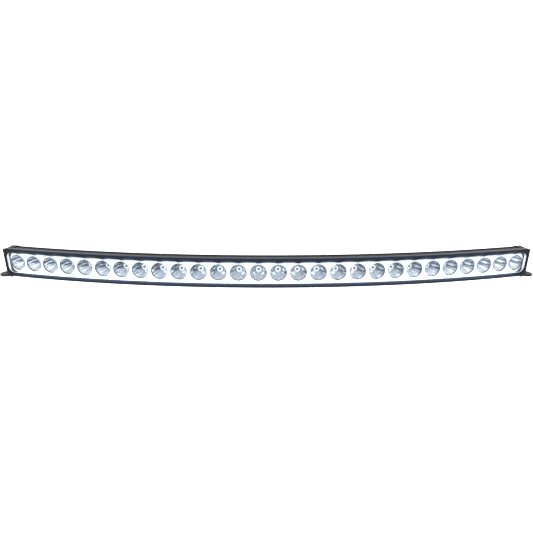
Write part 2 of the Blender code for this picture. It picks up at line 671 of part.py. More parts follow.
def make_bracket(side):
    label = "right" if side > 0 else "left"
    across = Vector((side * PLATE, 0, 0))
    arm = prism(arm_outline(side * ARM_INNER), Vector((0, 0, 0)), across)
    bracket = build(f"bracket_{label}", *arm, BRACKET_COAT)
    foot = prism(foot_outline(side, FOOT_PLANE), Vector((0, 0, 0)), Vector((0, 0, PLATE)))
    boolean(bracket, cutter(f"foot_{label}", *foot), "UNION")
    levels = ((PIVOT_HOLE_RADIUS, -PLATE - TOOL_REACH), (PIVOT_HOLE_RADIUS, TOOL_REACH))
    pivot_hole = stepped_rod(levels, 16, bolt_frame(side, ARM_INNER, PIVOT_HEIGHT))
    boolean(bracket, cutter(f"bracket_holes_{label}",
                            *joined([pivot_hole, lock_slot(side), foot_slot(side)])))


def make_bolts(side):
    """Pivot bolt with a washer, and the smaller lock bolt below it."""
    label = "right" if side > 0 else "left"
    face = ARM_INNER + PLATE + GAP
    washer_profile = ((PIVOT_HOLE_RADIUS, 0.0), (PIVOT_HOLE_RADIUS, -WASHER_THICKNESS),
                      (WASHER_RADIUS, -WASHER_THICKNESS), (WASHER_RADIUS, 0.0))
    points, faces = turned(washer_profile, 16, bolt_frame(side, face, PIVOT_HEIGHT))
    build(f"pivot_washer_{label}", points, faces, STEEL, smooth=math.radians(35))
    head_face = face + WASHER_THICKNESS + GAP
    for name, x, bolt, height in (
            ("pivot_bolt", head_face, PIVOT_BOLT, PIVOT_HEIGHT),
            ("lock_bolt", face, LOCK_BOLT, PIVOT_HEIGHT - LOCK_RADIUS)):
        flats, head, radius = bolt
        frame = bolt_frame(side, x, height)
        shank_end = x - PAD_FACE + THREAD_LENGTH
        steps = 12
        rings = []
        for level, size in ((-head, None), (0.0, None), (0.0, radius), (shank_end, radius)):
            ring = []
            for step in range(steps):
                turn = 2 * math.pi * step / steps
                corner = flats / math.cos(math.radians(30)) if step % 2 == 0 else flats
                reach = size if size else corner
                ring.append(frame @ Vector((reach * math.cos(turn), level, reach * math.sin(turn))))
            rings.append(ring)
        points = [point for ring in rings for point in ring]
        faces = tube_faces(len(rings), steps, False)
        faces += [list(range(steps)), [len(points) - steps + index for index in range(steps)]]
        build(f"{name}_{label}", points, faces, STEEL, smooth=math.radians(35))


# ---- rear fittings -------------------------------------------------------------------------
def make_rear_fittings():
    """Cable gland with its clamp nut, and the breather vent, in the pocket in the fins."""
    gland = local_frame(GLAND_STATION, POCKET_FLOOR + GAP, 0.0)
    body = ((0.0019, -0.0045), (0.0060, -0.0045), (0.0060, 0.0), (0.0090, 0.0), (0.0090, 0.0045),
            (0.0062, 0.0045), (0.0062, 0.0120), (0.0019, 0.0120))
    build("cable_gland", *turned(body, 18, gland), BLACK_PLASTIC, smooth=math.radians(35))
    nut = ((0.0065, 0.0050), (0.0088, 0.0050), (0.0088, 0.0130), (0.0066, 0.0190), (0.0019, 0.0190),
           (0.0019, 0.0124), (0.0065, 0.0124))
    build("gland_nut", *turned(nut, 18, gland), BLACK_PLASTIC, smooth=math.radians(35))
    vent = local_frame(VENT_STATION, POCKET_FLOOR + GAP, 0.0)
    levels = ((0.0030, -0.0045), (0.0030, 0.0), (0.0060, 0.0), (0.0060, 0.0028), (0.0045, 0.0042))
    build("breather_vent", *stepped_rod(levels, 18, vent), BLACK_PLASTIC, smooth=math.radians(35))


# ---- assembly ------------------------------------------------------------------------------
make_front()
make_halo_guide()
make_halo_strips()
make_reflectors()
make_led_boards()
make_driver()
make_housing()
make_cap_screws()
make_rear_fittings()
for end in (-1, 1):
    make_end_cap(end)
    make_cap_gasket(end)
    make_bracket(end)
    make_bolts(end)
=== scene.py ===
import json
import math

import bmesh
import bpy
from mathutils import Matrix, Vector


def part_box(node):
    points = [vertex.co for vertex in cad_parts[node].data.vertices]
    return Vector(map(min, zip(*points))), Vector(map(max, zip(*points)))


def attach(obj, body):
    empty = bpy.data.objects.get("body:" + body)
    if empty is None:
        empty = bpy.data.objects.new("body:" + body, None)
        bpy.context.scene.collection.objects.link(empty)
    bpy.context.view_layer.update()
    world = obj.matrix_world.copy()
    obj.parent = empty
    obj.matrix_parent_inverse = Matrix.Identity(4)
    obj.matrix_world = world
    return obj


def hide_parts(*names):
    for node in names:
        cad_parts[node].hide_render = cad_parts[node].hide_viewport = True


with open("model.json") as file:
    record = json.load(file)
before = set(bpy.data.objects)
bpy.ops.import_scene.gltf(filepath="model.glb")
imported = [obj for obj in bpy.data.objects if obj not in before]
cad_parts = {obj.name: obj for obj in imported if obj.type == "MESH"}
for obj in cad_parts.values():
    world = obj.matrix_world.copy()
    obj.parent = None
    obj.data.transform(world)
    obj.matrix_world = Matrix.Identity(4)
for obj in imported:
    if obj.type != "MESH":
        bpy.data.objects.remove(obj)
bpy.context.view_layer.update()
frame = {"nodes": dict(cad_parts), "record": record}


# ---- Housing -------------------------------------------------------------------------------
# An aluminium extrusion rolled to one radius, powder coated satin black: a channel open at the
# front, a drip rail along the top and cooling fins on the back. Every long piece follows its bow,
# so a place is a distance along the bowed front, a depth behind the bezel's face and a height.
FRONT_RADIUS = 2.5
LED_PITCH = 0.0465
LED_COUNT = sum(name.startswith("reflector_") for name in frame["nodes"])
BAR_HALF_LENGTH = 0.659
HOUSING_HALF_LENGTH = 0.640
face_low, face_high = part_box("bezel_frame")
FACE_Y = face_low.y
MIDDLE = (face_low.z + face_high.z) / 2
BEZEL_HALF_HEIGHT = (face_high.z - face_low.z) / 2
HALF_HEIGHT = 0.0344
GAP = 0.0003
SOFT_EDGE = 0.0003
HOUSING_FRONT = 0.0143
CAVITY_HALF_HEIGHT = 0.0304
CAVITY_BACK = 0.0381
CAVITY_CORNER = 0.006
WALL_BACK = 0.044
DRIP_RAIL = (0.025, 0.0272, 0.0368)
SHOULDER = 0.034
FINS = ((0.0, 0.0020, 0.080), (0.0064, 0.0018, 0.080), (0.0135, 0.0065, 0.075),
        (0.0208, 0.0018, 0.062), (0.0265, 0.0018, 0.049))
POCKET = (0.555, 0.6005, 0.0435, 0.012)
GLAND_STATION = 0.588
VENT_STATION = 0.566
SCREW_DEPTH = 0.070
SCREW_HEIGHT = 0.0135
SCREW_BORE = 0.0023
END_ANGLE = BAR_HALF_LENGTH / FRONT_RADIUS


def place(station, depth, height):
    angle = station / FRONT_RADIUS
    reach = FRONT_RADIUS - depth
    return Vector((reach * math.sin(angle), FACE_Y + FRONT_RADIUS - reach * math.cos(angle),
                   MIDDLE + height))


def local_frame(station, depth=0.0, height=0.0):
    """X along the bar, Y straight to the back and Z up, at a place on the bar."""
    return (Matrix.Translation(place(station, depth, height))
            @ Matrix.Rotation(station / FRONT_RADIUS, 4, "Z"))


def spaced(start, end, count):
    return [start + (end - start) * step / count for step in range(count + 1)]


def softened(outline, radius, steps=3):
    """Closed outline with each corner rounded, less where its edges are short."""
    points = [Vector(point) for point in outline]
    rounded = []
    for index, corner in enumerate(points):
        before = points[index - 1] - corner
        after = points[(index + 1) % len(points)] - corner
        start = corner + before.normalized() * min(radius, 0.46 * before.length)
        end = corner + after.normalized() * min(radius, 0.46 * after.length)
        for step in range(steps + 1):
            t = step / steps
            rounded.append(start * (1 - t) ** 2 + corner * 2 * t * (1 - t) + end * t * t)
    return rounded


def drawn_in(outline, distance):
    """Closed outline moved inwards by a distance, for a rounded rim."""
    points = [Vector(point) for point in outline]
    area = sum(a.x * b.y - b.x * a.y for a, b in zip(points, points[1:] + points[:1]))
    turn = 1 if area > 0 else -1
    moved = []
    for index, corner in enumerate(points):
        first = (corner - points[index - 1]).normalized()
        second = (points[(index + 1) % len(points)] - corner).normalized()
        normal = Vector((-first.y - second.y, first.x + second.x)) * turn
        spread = max(normal.length_squared / 2, 0.5)
        moved.append(corner + normal * distance / spread)
    return moved


def tube_faces(ring_count, ring_size, closed=False):
    faces = []
    for ring in range(ring_count if closed else ring_count - 1):
        after = (ring + 1) % ring_count
        for index in range(ring_size):
            following = (index + 1) % ring_size
            faces.append([ring * ring_size + index, ring * ring_size + following,
                          after * ring_size + following, after * ring_size + index])
    return faces


def loft(rings, closed=False):
    """Points and faces of a skin through rings: a closed loop, or with flat ends."""
    size = len(rings[0])
    points = [point for ring in rings for point in ring]
    faces = tube_faces(len(rings), size, closed)
    if not closed:
        faces.append(list(range(size)))
        faces.append(list(range(len(points) - size, len(points))))
    return points, faces


def sweep(section, stations):
    return loft([[place(station, *point) for point in section] for station in stations])


def joined(parts):
    points, faces = [], []
    for part_points, part_faces in parts:
        start = len(points)
        points = points + part_points
        faces = faces + [[start + index for index in face] for face in part_faces]
    return points, faces


def shade(mesh, sharp):
    mesh.shade_smooth()
    mesh.set_sharp_from_angle(angle=math.radians(sharp))


def build(name, skin, finish, sharp=40):
    """Object with its faces turned outwards and its round stretches smooth."""
    points, faces = skin
    mesh = bpy.data.meshes.new(name)
    mesh.from_pydata([tuple(point) for point in points], [], faces)
    work = bmesh.new()
    work.from_mesh(mesh)
    bmesh.ops.recalc_face_normals(work, faces=work.faces)
    work.to_mesh(mesh)
    work.free()
    shade(mesh, sharp)
    if finish:
        mesh.materials.append(finish)
    made = bpy.data.objects.new(name, mesh)
    bpy.context.scene.collection.objects.link(made)
    return made


def carve(piece, skin, operation="DIFFERENCE", sharp=40):
    """Cuts a shape from a piece, or joins it on, and keeps the result as the piece's mesh."""
    tool = build("tool", skin, None)
    step = piece.modifiers.new("carve", "BOOLEAN")
    step.operation = operation
    step.solver = "EXACT"
    step.object = tool
    bpy.context.view_layer.update()
    evaluated = piece.evaluated_get(bpy.context.evaluated_depsgraph_get())
    carved = bpy.data.meshes.new_from_object(evaluated)
    piece.modifiers.clear()
    piece.data = carved
    shade(carved, sharp)
    bpy.data.objects.remove(tool, do_unlink=True)


def seat(piece, body, slot=None, *nodes):
    """Fixes a finished piece to its body and hides the nodes it stands for. The slot is not used."""
    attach(piece, body)
    if nodes:
        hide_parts(*nodes)


def new_group(name, inputs, outputs):
    """Shader group with named sockets; returns its tree and its two end nodes."""
    tree = bpy.data.node_groups.new(name, "ShaderNodeTree")
    for label, kind, value in inputs:
        socket = tree.interface.new_socket(label, in_out="INPUT", socket_type=kind)
        socket.default_value = value
    for label, kind in outputs:
        tree.interface.new_socket(label, in_out="OUTPUT", socket_type=kind)
    return tree, tree.nodes.new("NodeGroupInput"), tree.nodes.new("NodeGroupOutput")


def add_noise(tree, vector, scale, detail, roughness=0.5):
    noise = tree.nodes.new("ShaderNodeTexNoise")
    noise.inputs["Detail"].default_value = detail
    noise.inputs["Roughness"].default_value = roughness
    tree.links.new(vector, noise.inputs["Vector"])
    if isinstance(scale, (int, float)):
        noise.inputs["Scale"].default_value = scale
    else:
        tree.links.new(scale, noise.inputs["Scale"])
    return noise.outputs["Fac"]


def add_range(tree, value, low, high, start=0.3, end=0.7):
    """Value from one span of numbers to another; low and high may be sockets."""
    span = tree.nodes.new("ShaderNodeMapRange")
    tree.links.new(value, span.inputs["Value"])
    span.inputs["From Min"].default_value = start
    span.inputs["From Max"].default_value = end
    for socket, wanted in (("To Min", low), ("To Max", high)):
        if isinstance(wanted, (int, float)):
            span.inputs[socket].default_value = wanted
        else:
            tree.links.new(wanted, span.inputs[socket])
    return span.outputs["Result"]


def add_mix(tree, factor, first, second):
    blend = tree.nodes.new("ShaderNodeMix")
    blend.data_type = "RGBA"
    for socket, wanted in ((0, factor), (6, first), (7, second)):
        if hasattr(wanted, "links"):
            tree.links.new(wanted, blend.inputs[socket])
        else:
            blend.inputs[socket].default_value = wanted
    return blend.outputs[2]


def add_math(tree, operation, first, second):
    node = tree.nodes.new("ShaderNodeMath")
    node.operation = operation
    for socket, wanted in ((0, first), (1, second)):
        if hasattr(wanted, "links"):
            tree.links.new(wanted, node.inputs[socket])
        else:
            node.inputs[socket].default_value = wanted
    return node.outputs[0]


def make_coat_group():
    """Powder coat: a fine pebbled skin, uneven gloss, and faint lines along an extrusion."""
    tree, start, end = new_group(
        "powder_coat",
        (("Dark", "NodeSocketColor", (0.02, 0.02, 0.02, 1)),
         ("Light", "NodeSocketColor", (0.04, 0.04, 0.04, 1)),
         ("Grain", "NodeSocketFloat", 900.0), ("Smooth", "NodeSocketFloat", 0.4),
         ("Rough", "NodeSocketFloat", 0.5), ("Lines", "NodeSocketFloat", 0.0)),
        (("Color", "NodeSocketColor"), ("Roughness", "NodeSocketFloat"),
         ("Height", "NodeSocketFloat")))
    where = tree.nodes.new("ShaderNodeTexCoord").outputs["Object"]
    pebble = add_noise(tree, where, start.outputs["Grain"], 2.0)
    patches = add_noise(tree, where, 24.0, 4.0, 0.6)
    stretch = tree.nodes.new("ShaderNodeMapping")
    stretch.inputs["Scale"].default_value = (0.6, 300.0, 300.0)
    tree.links.new(where, stretch.inputs["Vector"])
    lines = add_noise(tree, stretch.outputs["Vector"], 1.0, 2.0)
    line_push = add_math(tree, "MULTIPLY", add_math(tree, "SUBTRACT", lines, 0.5),
                         start.outputs["Lines"])
    gloss = add_range(tree, patches, start.outputs["Smooth"], start.outputs["Rough"])
    tone = add_math(tree, "ADD", add_range(tree, patches, 0.0, 0.8), line_push)
    colour = add_mix(tree, tone, start.outputs["Dark"], start.outputs["Light"])
    tree.links.new(colour, end.inputs["Color"])
    tree.links.new(add_math(tree, "ADD", gloss, line_push), end.inputs["Roughness"])
    tree.links.new(pebble, end.inputs["Height"])
    return tree


def new_surface(name):
    made = bpy.data.materials.new(name)
    made.use_nodes = True
    return made, made.node_tree, made.node_tree.nodes["Principled BSDF"]


def place_group(tree, group, **values):
    node = tree.nodes.new("ShaderNodeGroup")
    node.node_tree = group
    for label, value in values.items():
        node.inputs[label].default_value = value
    return node


def add_bump(tree, shader, height, strength, distance):
    bump = tree.nodes.new("ShaderNodeBump")
    bump.inputs["Strength"].default_value = strength
    bump.inputs["Distance"].default_value = distance
    tree.links.new(height, bump.inputs["Height"])
    tree.links.new(bump.outputs["Normal"], shader.inputs["Normal"])


COAT_GROUP = make_coat_group()


def coat_finish(name, dark, light, smooth, rough, lines=0.0, grain=900.0):
    made, tree, shader = new_surface(name)
    shader.inputs["Specular IOR Level"].default_value = 0.22
    coat = place_group(tree, COAT_GROUP, Dark=(*dark, 1), Light=(*light, 1), Smooth=smooth,
                       Rough=rough, Lines=lines, Grain=grain)
    tree.links.new(coat.outputs["Color"], shader.inputs["Base Color"])
    tree.links.new(coat.outputs["Roughness"], shader.inputs["Roughness"])
    add_bump(tree, shader, coat.outputs["Height"], 0.25, 0.0002)
    return made


def cylinder(radius, start, end, at, steps=32):
    """Plain tool shape along the Y axis of a frame."""
    rings = []
    for depth in (start, end):
        rings.append([at @ Vector((radius * math.cos(2 * math.pi * step / steps), depth,
                                   radius * math.sin(2 * math.pi * step / steps)))
                      for step in range(steps)])
    return loft(rings)


def cap_screw_frame(side, height):
    """Y runs inwards along the bar from an end cap's outer face."""
    inwards = Matrix.Rotation(side * (END_ANGLE + math.pi / 2), 4, "Z")
    return Matrix.Translation(place(side * BAR_HALF_LENGTH, SCREW_DEPTH, height)) @ inwards


def housing_section():
    slope = 0.0055
    rail_front, rail_back, rail_top = DRIP_RAIL
    outside = [(HOUSING_FRONT, HALF_HEIGHT), (rail_front, HALF_HEIGHT), (rail_front, rail_top),
               (rail_back, rail_top), (rail_back, HALF_HEIGHT), (SHOULDER, HALF_HEIGHT),
               (WALL_BACK, HALF_HEIGHT - slope)]
    fins = sorted({(side * height, thickness, tip) for height, thickness, tip in FINS
                   for side in (1, -1)}, reverse=True)
    for height, thickness, tip in fins:
        top = height + thickness / 2
        bottom = height - thickness / 2
        outside += [(WALL_BACK, top), (tip, top), (tip, bottom), (WALL_BACK, bottom)]
    below = [(WALL_BACK, slope - HALF_HEIGHT), (SHOULDER, -HALF_HEIGHT),
             (HOUSING_FRONT, -HALF_HEIGHT)]
    inner = CAVITY_HALF_HEIGHT
    inside = [(HOUSING_FRONT, -inner), (CAVITY_BACK - CAVITY_CORNER, -inner),
              (CAVITY_BACK, CAVITY_CORNER - inner), (CAVITY_BACK, inner - CAVITY_CORNER),
              (CAVITY_BACK - CAVITY_CORNER, inner), (HOUSING_FRONT, inner)]
    return softened(outside + below + inside, 0.0009)


HOUSING_COAT = coat_finish("housing_coat", (0.008, 0.008, 0.009), (0.016, 0.016, 0.017),
                           0.42, 0.52, lines=0.10)
BAR_STATIONS = spaced(-HOUSING_HALF_LENGTH, HOUSING_HALF_LENGTH, 4 * LED_COUNT)

housing = build("housing_extrusion", sweep(housing_section(), BAR_STATIONS), HOUSING_COAT)
pocket_start, pocket_end, pocket_floor, pocket_half = POCKET
pocket = [(pocket_floor, -pocket_half), (0.09, -pocket_half), (0.09, pocket_half),
          (pocket_floor, pocket_half)]
cuts = [sweep(pocket, spaced(pocket_start, pocket_end, 4))]
cuts += [cylinder(SCREW_BORE, 0.010, 0.034, cap_screw_frame(side, height), 16)
         for side in (-1, 1) for height in (-SCREW_HEIGHT, SCREW_HEIGHT)]
carve(housing, joined(cuts))
carve(housing, joined([cylinder(radius, CAVITY_BACK - 0.002, pocket_floor + 0.002,
                                local_frame(station))
                       for station, radius in ((GLAND_STATION, 0.0063), (VENT_STATION, 0.0033))]))
seat(housing, "bar", "housing_coat", "housing")


# ---- LED boards and LEDs -------------------------------------------------------------------
# Four aluminium-core boards with a white solder mask lie along the housing's back wall. Each
# carries seven LEDs: a grey-green phosphor dome with a milky collar round it. The collars glow, in
# place of the light that would reach them through the cups.
BOARD_FRONT = 0.0362
CHIP_HEIGHT = 0.001
DOME_RADIUS = 0.0033
COLLAR_RADIUS = 0.0065


def make_mask_group():
    """Solder mask: a slick lacquer with a faint weave from the board beneath."""
    tree, start, end = new_group(
        "solder_mask",
        (("Low", "NodeSocketColor", (0.6, 0.6, 0.6, 1)),
         ("High", "NodeSocketColor", (0.8, 0.8, 0.8, 1))),
        (("Color", "NodeSocketColor"), ("Roughness", "NodeSocketFloat"),
         ("Height", "NodeSocketFloat")))
    where = tree.nodes.new("ShaderNodeTexCoord").outputs["Object"]
    cloud = add_noise(tree, where, 180.0, 3.0)
    weave = tree.nodes.new("ShaderNodeTexWave")
    weave.inputs["Scale"].default_value = 420.0
    weave.inputs["Distortion"].default_value = 1.5
    tree.links.new(where, weave.inputs["Vector"])
    tree.links.new(add_mix(tree, add_range(tree, cloud, 0.0, 1.0), start.outputs["Low"],
                           start.outputs["High"]), end.inputs["Color"])
    tree.links.new(add_range(tree, cloud, 0.3, 0.45), end.inputs["Roughness"])
    tree.links.new(weave.outputs["Fac"], end.inputs["Height"])
    return tree


MASK_GROUP = make_mask_group()


def mask_finish(name, low, high):
    made, tree, shader = new_surface(name)
    mask = place_group(tree, MASK_GROUP, Low=(*low, 1), High=(*high, 1))
    tree.links.new(mask.outputs["Color"], shader.inputs["Base Color"])
    tree.links.new(mask.outputs["Roughness"], shader.inputs["Roughness"])
    add_bump(tree, shader, mask.outputs["Height"], 0.1, 0.0001)
    return made


def dress(names, finish):
    """Gives nodes that stay as they are their finish."""
    for name in names:
        mesh = frame["nodes"][name].data
        mesh.materials.clear()
        mesh.materials.append(finish)
        shade(mesh, 30)


def led_finish(name, colour, spot, roughness, coat):
    """Collar or phosphor with a fine speckle."""
    made, tree, shader = new_surface(name)
    where = tree.nodes.new("ShaderNodeTexCoord").outputs["Object"]
    speckle = add_noise(tree, where, 2200.0, 3.0)
    tree.links.new(add_mix(tree, add_range(tree, speckle, 0.0, 1.0), (*colour, 1), (*spot, 1)),
                   shader.inputs["Base Color"])
    shader.inputs["Roughness"].default_value = roughness
    shader.inputs["Coat Weight"].default_value = coat
    shader.inputs["Coat Roughness"].default_value = 0.05
    return made


def turned_rings(profile, steps, at):
    return [[at @ Vector((radius * math.cos(2 * math.pi * step / steps), depth,
                          radius * math.sin(2 * math.pi * step / steps)))
             for step in range(steps)] for radius, depth in profile]


def led_stations():
    return [(index - (LED_COUNT - 1) / 2) * LED_PITCH for index in range(LED_COUNT)]


def led_mesh():
    """Milky collar, phosphor and dome, with the board side towards +Y."""
    rings = turned_rings([(COLLAR_RADIUS, 0.0), (COLLAR_RADIUS, -0.0004),
                          (COLLAR_RADIUS - 0.0002, -0.0006)], 48, Matrix.Identity(4))
    dome = [(DOME_RADIUS * math.cos(turn), -0.0007 - DOME_RADIUS * 0.9 * math.sin(turn))
            for turn in spaced(0.0, math.radians(86), 10)]
    dome.insert(0, (DOME_RADIUS, -0.0006))
    made = build("led", loft(rings), LED_COLLAR)
    carve(made, loft(turned_rings([(DOME_RADIUS, -0.0003)] + dome, 32, Matrix.Identity(4))),
          "UNION")
    made.data.materials.append(LED_PHOSPHOR)
    for face in made.data.polygons:
        if face.center.y < -0.00065 and face.center.xz.length < DOME_RADIUS * 1.01:
            face.material_index = 1
    mesh = made.data
    bpy.data.objects.remove(made, do_unlink=True)
    return mesh


BOARD_WHITE = mask_finish("white_solder_mask", (0.62, 0.63, 0.62), (0.78, 0.79, 0.78))
LED_COLLAR = led_finish("led_collar", (0.80, 0.82, 0.84), (0.88, 0.90, 0.92), 0.4, 0.0)
COLLAR_SHADER = LED_COLLAR.node_tree.nodes["Principled BSDF"]
COLLAR_SHADER.inputs["Emission Color"].default_value = (0.86, 0.93, 1.0, 1)
COLLAR_SHADER.inputs["Emission Strength"].default_value = 0.75
LED_PHOSPHOR = led_finish("led_phosphor", (0.30, 0.33, 0.24), (0.42, 0.44, 0.34), 0.5, 1.0)
dress([f"led_board_{number}" for number in range(1, 5)], BOARD_WHITE)
LED_SHAPE = led_mesh()
for number, station in enumerate(led_stations(), start=1):
    led = bpy.data.objects.new(f"led_{number:02d}", LED_SHAPE)
    led.matrix_world = local_frame(station, BOARD_FRONT - CHIP_HEIGHT - GAP / 3)
    bpy.context.scene.collection.objects.link(led)
    seat(led, "bar", "led_board")


# ---- Driver board --------------------------------------------------------------------------
# A green epoxy board with its coil and driver chips lies in the space above the reflectors, under
# the housing's top wall. It feeds the LED boards a steady current.
DRIVER_GREEN = mask_finish("green_solder_mask", (0.012, 0.075, 0.030), (0.020, 0.12, 0.050))
dress(["driver_board"], DRIVER_GREEN)


# ---- Reflectors ----------------------------------------------------------------------------
# Each LED sits at the throat of its own parabolic cup, moulded in plastic and metallised in a
# vacuum. The cup has a thin flange that shows as a ring round its mouth.
RIM_DEPTH = 0.007
REFLECTOR_RADIUS = 0.0197
REFLECTOR_DEPTH = 0.028
BOWL_RADIUS = 0.0193
THROAT_RADIUS = 0.0075
RIM_SHADE = (0.0180, 0.0188)
THROAT_SHADE = (0.0085, 0.0135)
# Painted shade in the throat.
THROAT_PAINTED_SHADE = (0.08, 0.09, 0.13, 1)
# Painted shade along the rim, which also gets no glow.
RIM_PAINTED_SHADE = (0.12, 0.16, 0.21, 1)
# A glow in the cup's lower half stands in for the halo panel's light.
CUP_GLOW = (0.38, 0.42, 0.46, 1)
CUP_GLOW_HEIGHTS = (-0.014, -0.001)
# Dark and light chrome colours are painted reflections, for the streaks and for the painted highlight
# low in the cup.
PAINTED_DARK_REFLECTION = (0.09, 0.11, 0.15, 1)
PAINTED_LIGHT_REFLECTION = (0.90, 0.94, 0.98, 1)


def chrome_finish():
    """Vacuum chrome: streaks of painted reflection, painted shade at the dull rim and the throat, and
    a painted highlight and a glow low in the cup.
    """
    made, tree, shader = new_surface("vacuum_chrome")
    where = tree.nodes.new("ShaderNodeTexCoord").outputs["Object"]
    flat = tree.nodes.new("ShaderNodeVectorMath")
    flat.operation = "MULTIPLY"
    flat.inputs[1].default_value = (1.0, 0.0, 1.0)
    tree.links.new(where, flat.inputs[0])
    reach = tree.nodes.new("ShaderNodeVectorMath")
    reach.operation = "LENGTH"
    tree.links.new(flat.outputs["Vector"], reach.inputs[0])
    rim = add_range(tree, reach.outputs["Value"], 0.0, 1.0, *RIM_SHADE)
    throat = add_range(tree, reach.outputs["Value"], 0.85, 0.0, *THROAT_SHADE)
    ripple = add_noise(tree, where, 110.0, 1.0)
    haze = add_noise(tree, where, 260.0, 3.0)
    leaning = tree.nodes.new("ShaderNodeMapping")
    leaning.inputs["Rotation"].default_value = (0, math.radians(-22), 0)
    leaning.inputs["Scale"].default_value = (0.25, 0.4, 1.6)
    tree.links.new(where, leaning.inputs["Vector"])
    # The streaks are painted reflections of the surroundings.
    streaks = add_noise(tree, leaning.outputs["Vector"], 100.0, 1.0)
    silver = add_mix(tree, add_range(tree, streaks, 0.0, 1.0, 0.42, 0.56), PAINTED_DARK_REFLECTION,
                     PAINTED_LIGHT_REFLECTION)
    # Painted shade darkens the throat.
    silver = add_mix(tree, throat, silver, THROAT_PAINTED_SHADE)
    split = tree.nodes.new("ShaderNodeSeparateXYZ")
    tree.links.new(where, split.inputs["Vector"])
    # Painted highlight: the lower half is lightened towards the light chrome colour.
    lower = add_range(tree, split.outputs["Z"], 0.70, 0.0, -0.008, -0.001)
    silver = add_mix(tree, lower, silver, PAINTED_LIGHT_REFLECTION)
    # The glow in the lower half stands in for the halo panel's light.
    spill = add_range(tree, split.outputs["Z"], 1.0, 0.0, *CUP_GLOW_HEIGHTS)
    spill = add_mix(tree, spill, (0, 0, 0, 1), CUP_GLOW)
    tree.links.new(add_mix(tree, rim, spill, (0, 0, 0, 1)), shader.inputs["Emission Color"])
    shader.inputs["Emission Strength"].default_value = 1.0
    # Painted shade: the rim is darkened to a blue-grey.
    tree.links.new(add_mix(tree, rim, silver, RIM_PAINTED_SHADE), shader.inputs["Base Color"])
    tree.links.new(add_math(tree, "ADD", add_range(tree, haze, 0.03, 0.09),
                            add_math(tree, "MULTIPLY", rim, 0.2)), shader.inputs["Roughness"])
    shader.inputs["Metallic"].default_value = 1.0
    add_bump(tree, shader, ripple, 0.25, 0.0012)
    return made


def bowl_point(fraction, swell=0.0):
    """Radius and depth on the parabola, from the mouth (0) to the throat (1)."""
    square = THROAT_RADIUS ** 2 + (BOWL_RADIUS ** 2 - THROAT_RADIUS ** 2) * (1 - fraction)
    return math.sqrt(square) + swell, REFLECTOR_DEPTH * fraction


def reflector_mesh():
    wall = 0.0007
    flange = 0.0012
    inside = [bowl_point(fraction) for fraction in spaced(0.0, 1.0, 22)]
    back = [(THROAT_RADIUS + wall, REFLECTOR_DEPTH)]
    outside = [bowl_point(fraction, wall) for fraction in spaced(0.94, 0.30, 8)]
    rim = [(REFLECTOR_RADIUS, flange * 1.5), (REFLECTOR_RADIUS, 0.0002),
           (REFLECTOR_RADIUS - 0.0001, 0.0), (BOWL_RADIUS + 0.0001, 0.0)]
    rings = turned_rings(inside + back + outside + rim, 72, Matrix.Identity(4))
    made = build("cup", loft(rings, closed=True), CHROME, sharp=35)
    mesh = made.data
    bpy.data.objects.remove(made, do_unlink=True)
    return mesh


CHROME = chrome_finish()
CUP_SHAPE = reflector_mesh()
for number, station in enumerate(led_stations(), start=1):
    cup = bpy.data.objects.new(f"reflector_cup_{number:02d}", CUP_SHAPE)
    cup.matrix_world = local_frame(station, RIM_DEPTH)
    bpy.context.scene.collection.objects.link(cup)
    seat(cup, "bar", "reflector_chrome", f"reflector_{number:02d}")


# ---- Halo guide, its strips and its carrier ------------------------------------------------
# A milk-white acrylic panel set back round the cups, with a strip board along each long edge. The
# panel's own material gives the light, and the strips give none. It has a hole for each cup and a
# relief above and below it. A black nylon frame holds it, with a lip that covers the strips.
GUIDE_FRONT = 0.0112
GUIDE_THICKNESS = 0.003
GUIDE_HALF_LENGTH = 0.651
GUIDE_HALF_HEIGHT = 0.027
GUIDE_CORNER = 0.022
GUIDE_HOLE = 0.0188
RELIEF_RADIUS = 0.0202
UPPER_RELIEF = 0.0404
LOWER_RELIEF = 0.0465
REBATE = (0.6579, 0.0313, 0.012)
CARRIER_FRONT = 0.0089
CARRIER_DEPTH = 0.005
CARRIER_WIDTH = 0.0017
# Heights over which painted shade darkens the panel's top edge.
TOP_SHADE_HEIGHTS = (0.0187, 0.0222)
FRONT_COLUMNS = [step * LED_PITCH / 4 for step in range(-54, 55)]
CORNER_STEPS = 16


def rounded_ring(half_length, half_height, radius, depth):
    """Rounded rectangle on the bowed face: along the top, then back along the bottom."""
    corner = [(half_length - radius + radius * math.cos(turn),
               half_height - radius + radius * math.sin(turn))
              for turn in spaced(0.0, math.pi / 2, CORNER_STEPS)]
    top = [(-station, height) for station, height in corner]
    top += [(station, half_height) for station in FRONT_COLUMNS]
    top += reversed(corner)
    bottom = [(station, -height) for station, height in reversed(top)]
    return [place(station, depth, height) for station, height in top + bottom]


def plate(rings):
    """Skin through rings, its two end faces filled in strips that keep the bow."""
    size = len(rings[0])
    points = [point for ring in rings for point in ring]
    faces = tube_faces(len(rings), size)
    for start in (0, len(points) - size):
        faces += [[start + index, start + index + 1, start + size - 2 - index,
                   start + size - 1 - index] for index in range(size // 2 - 1)]
    return points, faces


def grown(outline, amount, depth):
    return rounded_ring(*[size + amount for size in outline], depth)


def rebate_fit(inset, depth):
    return grown(REBATE, -GAP - inset, depth)


